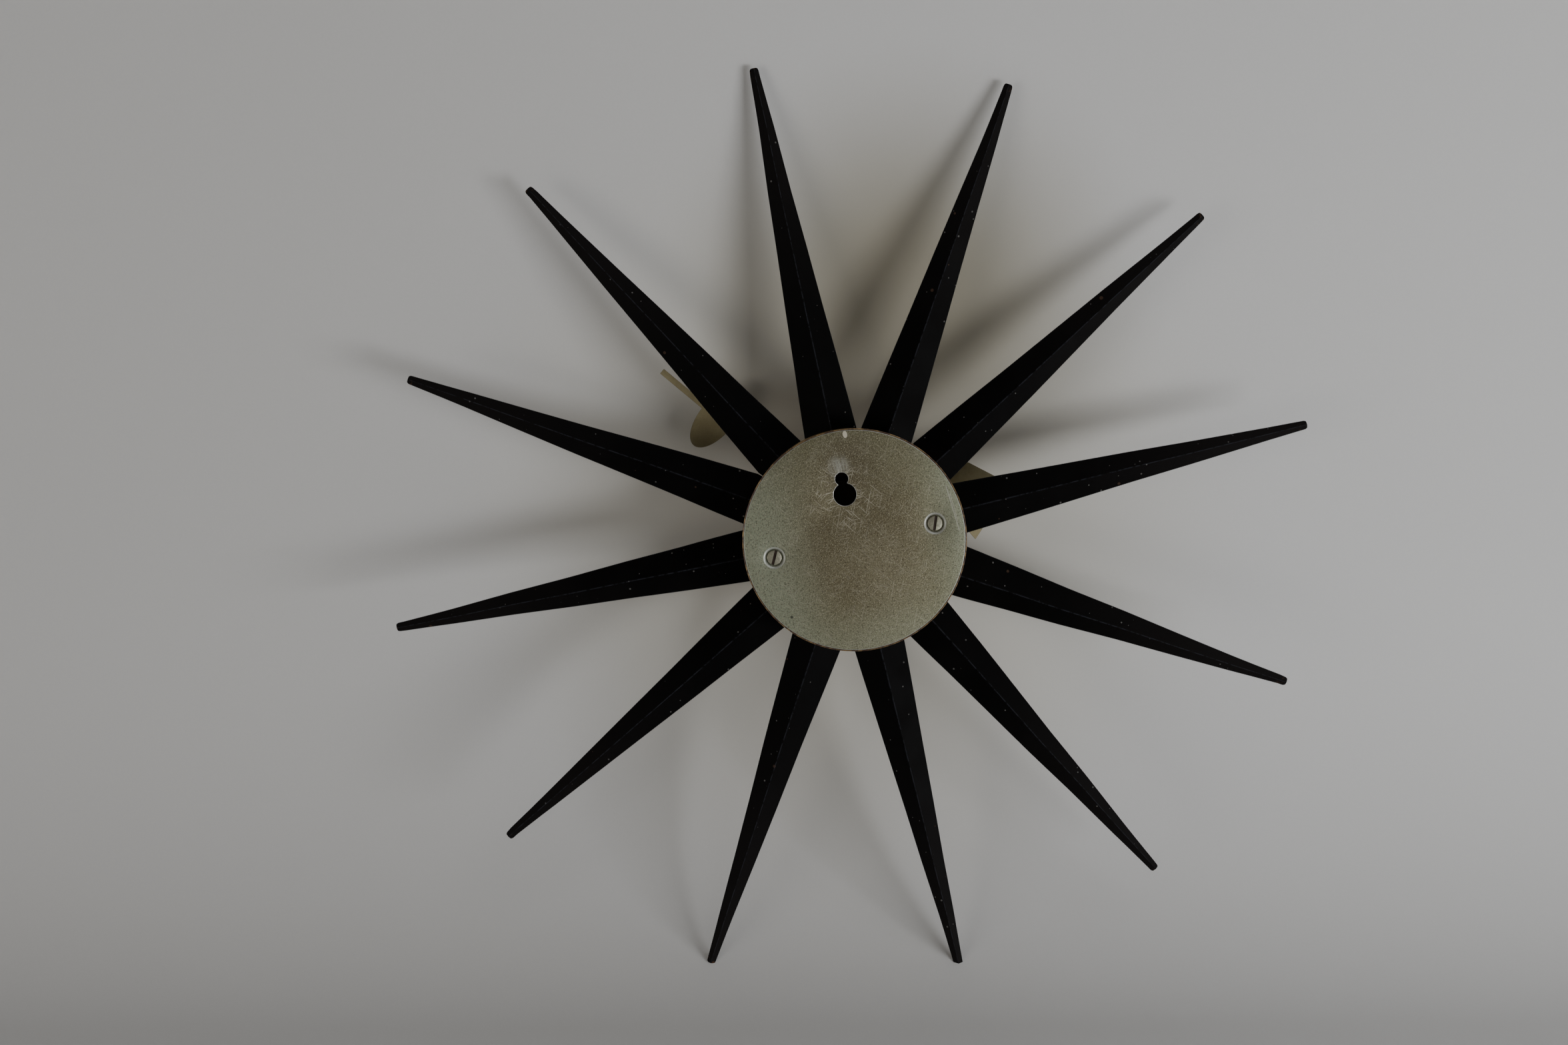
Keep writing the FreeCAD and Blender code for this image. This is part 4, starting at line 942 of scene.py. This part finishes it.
# %% [markdown]
# ## The rays
#
# A ray is a tapering bar with a diamond section: wide across, thin front to back, with a ridge down the
# middle of each side. Planed and lacquered wood has no knife edges, so each corner of the diamond is a
# small arc.
#
# The grid has one direction along the ray and one round the section. At each step along the ray the
# diamond shrinks in proportion, the corner arcs keep their size, and the last few rows close in to a
# blunt worn tip. The root is hollowed to the drum: each line of the grid starts where it meets the drum's
# cone.

# %% Ray directions
HOURS = range(1, 13)


def flat_points(node):
    """A CAD node's points in the plane of the clock's face."""
    return mesh_points(frame["nodes"][node].data)[:, [0, 2]]


def ray_direction(hour):
    """The unit direction of a ray in the clock's face, from its farthest points."""
    points = flat_points("ray_%02d" % hour)
    far = points[np.hypot(*points.T) > ray_tip - 0.3 * MM].mean(axis=0)
    return far / np.linalg.norm(far)


directions = {hour: ray_direction(hour) for hour in HOURS}
ray_angles = {hour: math.atan2(direction[1], direction[0]) for hour, direction in directions.items()}
print("ray at 12 o'clock leans %.2f degrees" % (90 - math.degrees(ray_angles[12])))


def turn_between(first, second):
    """The angle from one ray to the next, as a positive number."""
    return abs((ray_angles[first] - ray_angles[second] + math.pi) % (2 * math.pi) - math.pi)


# %% Ray shape
ridge_rounding = 0.28 * MM
side_rounding = 0.30 * MM
tip_worn_length, tip_closing = 1.6 * MM, 0.42
bare_length = 9 * MM
root_blend_length = 14 * MM
neighbour_gap = 0.1 * MM
wander_size = 0.10 * MM
ridge_shift = {12: 0.04, 10: 0.08, 8: 0.14, 7: -0.08, 3: -0.03, 5: 0.05}


def section_points(half_width, half_thickness, rounding_share, shift):
    """The rounded diamond at each step along a ray, with the edge value that marks its corners.

    The four corners are (w, 0), (s, t), (-w, 0) and (s, -t), each replaced by a small arc; flats are divided.
    """
    zero = np.zeros_like(half_width)
    offset = shift * half_width
    corners = [np.stack(pair, axis=-1) for pair in (
        (half_width, zero), (offset, half_thickness), (-half_width, zero), (offset, -half_thickness))]
    rings, marks = [], []
    for k in range(4):
        rounding = (side_rounding if k % 2 == 0 else ridge_rounding) * rounding_share[:, None]
        before, after = corners[k - 1], corners[(k + 1) % 4]
        arc_points = corner_arc(corners[k], before, after, rounding, 5)
        rings.append(arc_points)
        marks += [0.5, 1.0, 1.0, 1.0, 0.5] if k % 2 else [0.2, 0.55, 0.7, 0.55, 0.2]
        following = corner_arc(after, corners[k], corners[(k + 2) % 4],
                               (ridge_rounding if k % 2 == 0 else side_rounding) * rounding_share[:, None], 5)
        flats = np.array([0.04, 0.2, 0.5, 0.8, 0.96])[None, :, None]
        rings.append(arc_points[:, -1:] * (1 - flats) + following[:, :1] * flats)
        marks += [0.0] * 5
    return np.concatenate(rings, axis=1), np.array(marks)


def drum_radius_at(depth):
    """The drum's outer radius at a depth."""
    return drum_radius - (depth - drum_lip) * math.tan(drum_taper)


def make_ray(hour):
    """One ray as a grid of rows along it and points round its section.

    Along the ray the half width falls in a straight line from root to tip, and at the worn end it follows a
    quarter circle: w(1 - r) + w r sqrt(1 - u^2), where u goes from 0 to 1 over the last stretch.
    """
    random = np.random.default_rng(100 + hour)
    root = drum_radius_at(ray_depth)
    body = np.linspace(0, 1, 72)
    out = root + (ray_tip - tip_worn_length - root) * body
    end = np.linspace(0, 1, 9)[1:]
    out = np.concatenate([out, ray_tip - tip_worn_length * (1 - end)])
    share = (out - root) / (ray_tip - root)
    half_width = ray_root_half_width * (1 - share) + ray_tip_half_width * share
    worn = np.concatenate([np.zeros_like(body), end])
    half_width = half_width * (1 - tip_closing * (1 - np.sqrt(1 - np.minimum(worn, 0.999) ** 2)))
    half_thickness = half_width * ray_half_thickness / ray_root_half_width
    rounding_share = np.minimum(1.0, half_thickness / (1.6 * MM))
    section, marks = section_points(half_width, half_thickness, rounding_share, ridge_shift.get(hour, 0.0))
    across, forward = section[..., 0], section[..., 1]
    wander = np.interp(share, np.linspace(0, 1, 7), random.normal(0, wander_size, 7))
    across = across + wander[:, None] * np.clip(share * 4, 0, 1)[:, None] * (share < 0.99)[:, None]
    depth = ray_depth + forward
    far = np.repeat(out[:, None], across.shape[1], axis=1)
    on_drum = np.sqrt(np.maximum(drum_radius_at(depth) ** 2 - across ** 2, 0))
    blend_in = np.clip(1 - (far - root) / root_blend_length, 0, 1)
    far = far + (on_drum - root) * blend_in
    left = math.tan(turn_between(hour, (hour - 2) % 12 + 1) / 2)
    right = math.tan(turn_between(hour, hour % 12 + 1) / 2)
    across = np.clip(across, -far * right + neighbour_gap, far * left - neighbour_gap)
    along = directions[hour]
    side = np.array([-along[1], along[0]])
    flat = far[..., None] * along + across[..., None] * side
    points = np.stack([flat[..., 0], -depth, flat[..., 1]], axis=-1)
    rows, columns = across.shape
    faces = grid_faces(rows, columns, True).tolist()
    faces += [list(range(columns))[::-1], [(rows - 1) * columns + k for k in range(columns)]]
    ray = make_mesh("ray_%02d_wood" % hour, points, faces)
    mesh = ray.data
    carry(ray, "edge", np.repeat(marks[None], rows, axis=0))
    carry(ray, "tip", np.clip((far - ray_tip + bare_length) / bare_length, 0, 1) ** 2)
    around = np.linspace(0, 1, columns)[None] * 4 * ray_root_half_width
    grain = np.stack([far + 0.5 * hour, np.repeat(around, rows, axis=0)], axis=-1).reshape(-1, 2)
    corners = np.empty(len(mesh.loops), dtype=int)
    mesh.loops.foreach_get("vertex_index", corners)
    mesh.uv_layers.new(name="grain").data.foreach_set("uv", grain[corners].reshape(-1))
    sharpen(turn_outwards(ray), 24.0)
    return finish_piece(ray, "lacquered_wood", "clock", "ray_%02d" % hour)


rays = {hour: make_ray(hour) for hour in HOURS}
print("rays:", len(rays), "with", len(rays[12].data.polygons), "faces each")

# %% [markdown]
# ## The hands
#
# Both hands are stamped from thin brass. We draw half of each outline from the bottom up and mirror it:
# the hour hand is a boss, a stick and a kite, and the minute hand is a boss, a stick, a lying oval and
# the stick again. `sheet_piece` turns the outline into a sheet with a worn edge.

# %% Hands


def mirrored(right_half):
    """A closed outline from its right half, given from bottom to top."""
    left = right_half[::-1] * np.array([-1.0, 1.0])
    both = np.concatenate([right_half, left])
    keep = np.linalg.norm(both - np.roll(both, 1, axis=0), axis=1) > 1e-7
    return both[keep]


def turned_clockwise(outline, degrees):
    """The outline turned clockwise about the axis, as seen from the front."""
    angle = math.radians(degrees)
    x, z = outline[:, 0], outline[:, 1]
    cosine, sine = math.cos(angle), math.sin(angle)
    return np.stack([x * cosine + z * sine, z * cosine - x * sine], axis=1)


def boss_and_stick(boss_radius, half_stick):
    """The right half of the round boss, from its lowest point to where the stick leaves it."""
    leave = math.acos(half_stick / boss_radius)
    return arc(boss_radius, (0.0, 0.0), -math.pi / 2, leave, 40)


def hour_outline():
    half, tip, corner, corner_half, notch = 1.7 * MM, 86.3 * MM, 61.7 * MM, 23.0 * MM, 50.6 * MM
    joint = notch + half * (corner - notch) / corner_half
    kite = np.array([(half, joint), (corner_half - 0.3 * MM, corner - 0.12 * MM),
                     (corner_half - 0.3 * MM, corner + 0.25 * MM), (0.35 * MM, tip)])
    return mirrored(np.concatenate([boss_and_stick(5.0 * MM, half), kite]))


def minute_outline():
    half, tip, middle, long_half, short_half = 1.55 * MM, 126.5 * MM, 89.5 * MM, 19.0 * MM, 9.07 * MM
    start = math.acos(half / long_half)
    angle = np.linspace(-start, start, 72)
    oval = np.stack([long_half * np.cos(angle), middle + short_half * np.sin(angle)], axis=1)
    end = np.array([(half, tip - 0.2 * MM), (half - 0.2 * MM, tip)])
    return mirrored(np.concatenate([boss_and_stick(4.0 * MM, half), oval, end]))


def hand_angle(node):
    """How far a hand stands from 12 o'clock, from its farthest points, clockwise from the front."""
    points = flat_points(node)
    reach = np.hypot(*points.T)
    far = points[reach > reach.max() - 0.2 * MM].mean(axis=0)
    return math.degrees(math.atan2(far[0], far[1]))


def make_hand(name, node, outline, bore, body):
    back, front, _ = reach(node)
    outline = turned_clockwise(outline, hand_angle(node))
    outlines, roundings = [outline, circle(bore, count=64)], [0.14 * MM, 0.08 * MM]
    hand = consistent(sheet_piece(name, outlines, roundings, back, front, steps=3, carry_edge=True))
    outside, start = bore + 1.3 * MM, back - 1.0 * MM
    profile = round_corners([(bore, start, 0.1 * MM), (outside, start, 0.15 * MM), (outside, back, 0.0),
                             (bore, back, 0.0)], steps=4)
    finish_piece(turned(name + "_collet", profile, segments=64), "fitting_brass", body)
    finish_piece(hand, "hand_brass", body, node)


make_hand("hour_hand_sheet", "hour_hand", hour_outline(), 2.5 * MM, "hour")
make_hand("minute_hand_sheet", "minute_hand", minute_outline(), 1.25 * MM, "minute")
print("hands at %.1f and %.1f degrees" % (hand_angle("hour_hand"), hand_angle("minute_hand")))

# %% [markdown]
# ## Nuts, washer and screws
#
# The small fittings are turned, so each is a profile about the axis. The hexagon nut is the same grid
# with one twist: its radius at each angle is the smaller of the hexagon's and the chamfer cone's. The two
# plate screws are discs with a straight slot: a square grid is squeezed into the disc, so that the slot's
# two walls can follow grid lines.

# %% Turned fittings


def domed_nut():
    """The small knurled nut that holds the hands: a low cylinder with a domed top."""
    back, front, radius = reach("hand_nut")
    bore = 0.8 * MM
    profile = round_corners([
        (bore, back, 0.1 * MM), (radius, back, 0.2 * MM), (radius, front - 0.7 * MM, 0.35 * MM),
        (radius * 0.62, front, 0.5 * MM), (bore, front, 0.15 * MM)], steps=6)
    return finish_piece(turned("hand_nut_dome", profile, segments=96), "fitting_brass", "minute", "hand_nut")


def flat_washer():
    back, front, radius = reach("dial_washer")
    bore = thread_hole_radius
    profile = round_corners([(bore, back, 0.0), (radius, back, 0.1 * MM), (radius, front, 0.25 * MM),
                             (bore, front, 0.1 * MM)])
    return finish_piece(turned("dial_washer_ring", profile), "fitting_brass", "clock", "dial_washer")


def chamfered_nut():
    """A hexagon nut: at each angle and depth the radius is min(hexagon, chamfer cone).

    The hexagon's radius at an angle a from the middle of a flat is (width across flats / 2) / cos(a).
    """
    back, front, _ = reach("hex_nut")
    flat, count = 5.5 * MM, 144
    angle = np.linspace(0, 2 * np.pi, count, endpoint=False)
    from_flat = (angle + np.pi / 6) % (np.pi / 3) - np.pi / 6
    hexagon = flat / np.cos(from_flat)
    depth = np.array([back, back, back + 0.15 * MM, back + 0.35 * MM, (back + front) / 2,
                      front - 0.35 * MM, front - 0.15 * MM, front, front])
    cone = flat * np.array([0.86, 1.01, 1.055, 1.16, 1.2, 1.16, 1.055, 1.01, 0.86])
    outside = np.minimum(hexagon[None], cone[:, None])
    bore = np.full((1, count), thread_hole_radius)
    radius = np.concatenate([bore, outside, bore])
    level = np.concatenate([depth[:1], depth, depth[-1:]])[:, None] + 0 * radius
    points = np.stack([radius * np.cos(angle), -level, radius * np.sin(angle)], axis=-1)
    faces = grid_faces(len(radius) + 1, count, True) % radius.size
    piece = sharpen(turn_outwards(make_mesh("hex_nut_faces", points, faces)), 12.0)
    return finish_piece(piece, "fitting_brass", "clock", "hex_nut")


fittings = [domed_nut(), flat_washer(), chamfered_nut()]
print("fittings:", [piece.name for piece in fittings])

# %% Plate screws
slot_width, slot_depth = 1.3 * MM, 0.7 * MM
dome_height, rim_drop, rim_start = 0.32 * MM, 0.22 * MM, 0.93
slot_foot, slot_lip, slot_edge = 0.98, 1.12, 1.45


def slotted_screw(name, centre, degrees):
    """A screw head with a straight slot and a low dome, on a short shank.

    A grid point (u, v) in a square goes to (x, y) = (R u, R v sqrt(1 - u^2)), which fills a disc while
    the lines of constant u stay straight: the slot's walls are two such lines.
    """
    radius = screw_head_radius
    floor_depth, top_depth = dimple_depth, -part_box("plate_screws")[1][1]
    half = slot_width / 2 / radius
    wing = half * slot_edge + (1 - half * slot_edge) * np.sin(np.linspace(0, np.pi / 2, 13))[1:]
    walls = half * np.array([slot_foot, 1.0, slot_lip, slot_edge])
    u = np.concatenate([-wing[::-1], -walls[::-1], [0.0], walls, wing])
    v = np.sin(np.linspace(-np.pi / 2, np.pi / 2, 33))
    u[0], u[-1] = -0.9995, 0.9995
    x = radius * u[:, None] + 0 * v
    z = radius * v[None] * np.sqrt(1 - u[:, None] ** 2)
    from_middle = np.hypot(x, z) / radius
    top = top_depth + dome_height * from_middle ** 2.4
    wall = np.interp(np.abs(u), [slot_foot * half, half, slot_lip * half], [1.0, 0.12, 0.0])[:, None]
    top = top + wall * (top_depth + slot_depth - top)
    rim = np.clip((from_middle - rim_start) / (1 - rim_start), 0, 1)
    top = top + rim_drop * rim ** 2
    angle = math.radians(degrees)
    rows, columns = x.shape
    flat_x = centre[0] + x * math.cos(angle) + z * math.sin(angle)
    flat_z = centre[1] - x * math.sin(angle) + z * math.cos(angle)
    head = np.stack([flat_x, -top, flat_z], axis=-1).reshape(-1, 3)
    border = np.concatenate([
        np.arange(columns),
        np.arange(1, rows) * columns + columns - 1,
        (rows - 1) * columns + np.arange(columns - 2, -1, -1),
        np.arange(rows - 2, 0, -1) * columns,
    ])
    under = head[border].copy()
    under[:, 1] = -floor_depth
    faces = grid_faces(rows, columns, False).tolist()
    count, first = len(border), rows * columns
    index = np.arange(count)
    following = (index + 1) % count
    faces += np.stack([border[index], border[following], first + following, first + index], axis=1).tolist()
    faces.append((first + index).tolist())
    piece = consistent(make_mesh(name, np.concatenate([head, under]), faces))
    carry(piece, "slot", np.concatenate([np.repeat(wall, columns, axis=1).reshape(-1), np.zeros(count)]))
    return finish_piece(piece, "screw_steel", "clock", "plate_screws")


screws = [slotted_screw("plate_screw_left", (-post_distance, 0.0), -19.0),
          slotted_screw("plate_screw_right", (post_distance, 0.0), -26.0)]
print("screws:", len(screws))

# %% [markdown]
# ## The room
#
# The clock stands on the tips of two rays and leans on a pale paper sweep: a floor that curves up into a
# wall. We see it from behind, turned a little about its own axis. The sweep is one grid: its profile is
# the floor, an arc and the wall. Seen from its back it is transparent, so the clock can be looked at from
# its front as well. The paper is painted warmer near the clock, as painted warm light thrown back by the
# brass, and darker above the hub, as painted shadow that adds to the shade that the lights leave there.

# %% Sweep
roll = math.radians(12.1)
up = Vector((-math.sin(roll), 0.0, math.cos(roll)))
right = Vector((-math.cos(roll), 0.0, -math.sin(roll)))
back_way = Vector((0.0, 1.0, 0.0))
lean = math.radians(14.0)
wall_out = back_way * math.cos(lean) - up * math.sin(lean)
wall_up = up * math.cos(lean) + back_way * math.sin(lean)
wall_gap, floor_gap = 5 * MM, 2.4 * MM
bend = 0.16


def paper():
    material, tree, shader = new_material("paper_sweep")
    place = object_place(tree)
    fibres = noise(tree, place, 900.0, 4.0, 0.6)
    clouds = noise(tree, place, 3.0, 2.0, 0.5)
    base = mix_colour(tree, fibres, colour(0.60, 0.60, 0.595), colour(0.64, 0.64, 0.635))
    flattened = mapped(tree, place, Scale=(1.0, 0.0, 1.0))
    above_hub = right * 0.030 + up * 0.115
    # Painted shadow: the paper is darker and warmer above the hub.
    painted_shadow_above_hub = spot(tree, flattened, above_hub, 20 * MM, 140 * MM)
    # Painted warm light thrown back by the brass: the paper is warmer and a little darker near the clock's
    # axis.
    around = spot(tree, flattened, (0.0, 0.0, 0.0), 60 * MM, 235 * MM)
    base = layers(
        tree, base,
        (clouds, 0.3, (0.60, 0.60, 0.61)),
        (around, 0.6, (0.62, 0.59, 0.50)),
        (painted_shadow_above_hub, 0.85, (0.275, 0.25, 0.185)),
    )
    set_inputs(tree, shader, {
        "Base Color": base, "Roughness": 0.9, "Specular IOR Level": 0.1,
        "Normal": bump(tree, fibres, 0.05, 0.0003),
    })
    see_through = add(tree, "ShaderNodeBsdfTransparent").outputs["BSDF"]
    behind = add(tree, "ShaderNodeNewGeometry").outputs["Backfacing"]
    both = add(tree, "ShaderNodeMixShader", {0: behind, 1: shader.outputs["BSDF"], 2: see_through})
    output = next(node for node in tree.nodes if node.type == "OUTPUT_MATERIAL")
    tree.links.new(both.outputs[0], output.inputs["Surface"])
    return material


def make_sweep():
    """Floor, quarter arc and wall as one profile, carried sideways; the wall passes just behind the tips."""
    tips = {hour: Vector((x, 0, z)) * ray_tip - back_way * ray_depth for hour, (x, z) in directions.items()}
    wall_place = (tips[12] - back_way * wall_gap).dot(wall_out)
    floor_place = min(tips[hour].dot(wall_up) for hour in (5, 6)) - floor_gap
    angle = np.linspace(0, np.pi / 2, 48)
    out = np.concatenate([[2.6, 1.2, 0.6], wall_place + bend * (1 - np.sin(angle)), [wall_place] * 3])
    height = np.concatenate([[floor_place] * 3, floor_place + bend * (1 - np.cos(angle)),
                             [floor_place + 0.5, floor_place + 1.0, floor_place + 2.4]])
    side = np.linspace(-2.2, 2.2, 23)
    out, height = out[:, None, None], height[:, None, None]
    points = out * np.array(wall_out) + height * np.array(wall_up) + side[None, :, None] * np.array(right)
    sweep = make_mesh("sweep", points, grid_faces(points.shape[0], points.shape[1], False))
    if sweep.data.polygons[0].normal.dot(wall_up) < 0:
        sweep.data.flip_normals()
    sweep.data.materials.append(paper())
    return sweep


sweep = make_sweep()
print("sweep:", len(sweep.data.polygons), "faces")

# %% [markdown]
# ## Light
#
# Two soft lights stand behind the camera, to its left and right and a little low, so each upper ray
# throws two soft shadows that climb the wall. A broad light from above fills the rest, and a dim one
# lights the clock's front. What the black lacquer shows is mostly the dark room behind the camera, so the
# world is dim for everything but the background.

# %% Lights and world


def soft_light(name, place, energy, size, tint):
    """An area light at a place, aimed at the clock."""
    lamp = bpy.data.lights.new(name, "AREA")
    lamp.energy, lamp.size, lamp.color = energy, size, tint
    lit = bpy.data.objects.new(name, lamp)
    lit.location = place
    lit.rotation_euler = (-place).to_track_quat("-Z", "Y").to_euler()
    bpy.context.collection.objects.link(lit)
    return lit


lights = [
    soft_light("left_light", (right * -0.68 - up * 0.20 + back_way * 0.74) * 1.6, 6.4, 0.85,
               (1.0, 0.965, 0.915)),
    soft_light("right_light", (right * 0.68 - up * 0.33 + back_way * 0.72) * 1.35, 19.0, 0.66,
               (0.975, 0.985, 1.0)),
    soft_light("top_light", right * 0.9 + up * 1.7 + back_way * 1.4, 9.4, 1.6, (0.95, 0.965, 1.0)),
    soft_light("front_light", right * -0.5 + up * 0.6 - back_way * 1.6, 4.0, 1.0, (1.0, 0.99, 0.97)),
]


def make_world():
    world = bpy.data.worlds.new("room")
    bpy.context.scene.world = world
    world.use_nodes = True
    tree = world.node_tree
    tree.nodes.clear()
    seen = add(tree, "ShaderNodeLightPath").outputs["Is Camera Ray"]
    tone = mix_colour(tree, seen, colour(0.060, 0.051, 0.037), colour(0.30, 0.30, 0.30))
    backdrop = add(tree, "ShaderNodeBackground", {"Color": tone})
    add(tree, "ShaderNodeOutputWorld", {"Surface": backdrop.outputs["Background"]})


make_world()
print("lights:", [lit.name for lit in lights])

# %% [markdown]
# ## Camera
#
# The camera stands 0.84 m behind the clock, a little above its axis and to one side, and looks down by
# six degrees. Its up leans from the clock's own by twelve degrees, so the clock looks turned.

# %% Camera
place = right * -0.0438 + up * 0.1025 + back_way * 0.8408
forward = (right * 0.0109 - up * 0.1105 - back_way * 0.9938).normalized()
top = (up - forward * up.dot(forward)).normalized()
side = forward.cross(top)
camera_data = bpy.data.cameras.new("camera")
camera_data.lens, camera_data.sensor_width = 39.8, 36.0
camera_data.clip_start, camera_data.clip_end = 0.01, 20.0
camera = bpy.data.objects.new("camera", camera_data)
facing = Matrix((side, top, -forward)).transposed().to_4x4()
camera.matrix_world = Matrix.Translation(place) @ facing
bpy.context.collection.objects.link(camera)
bpy.context.scene.camera = camera
print("camera at", [round(value, 3) for value in place])

# %% Finish
bpy.context.view_layer.update()
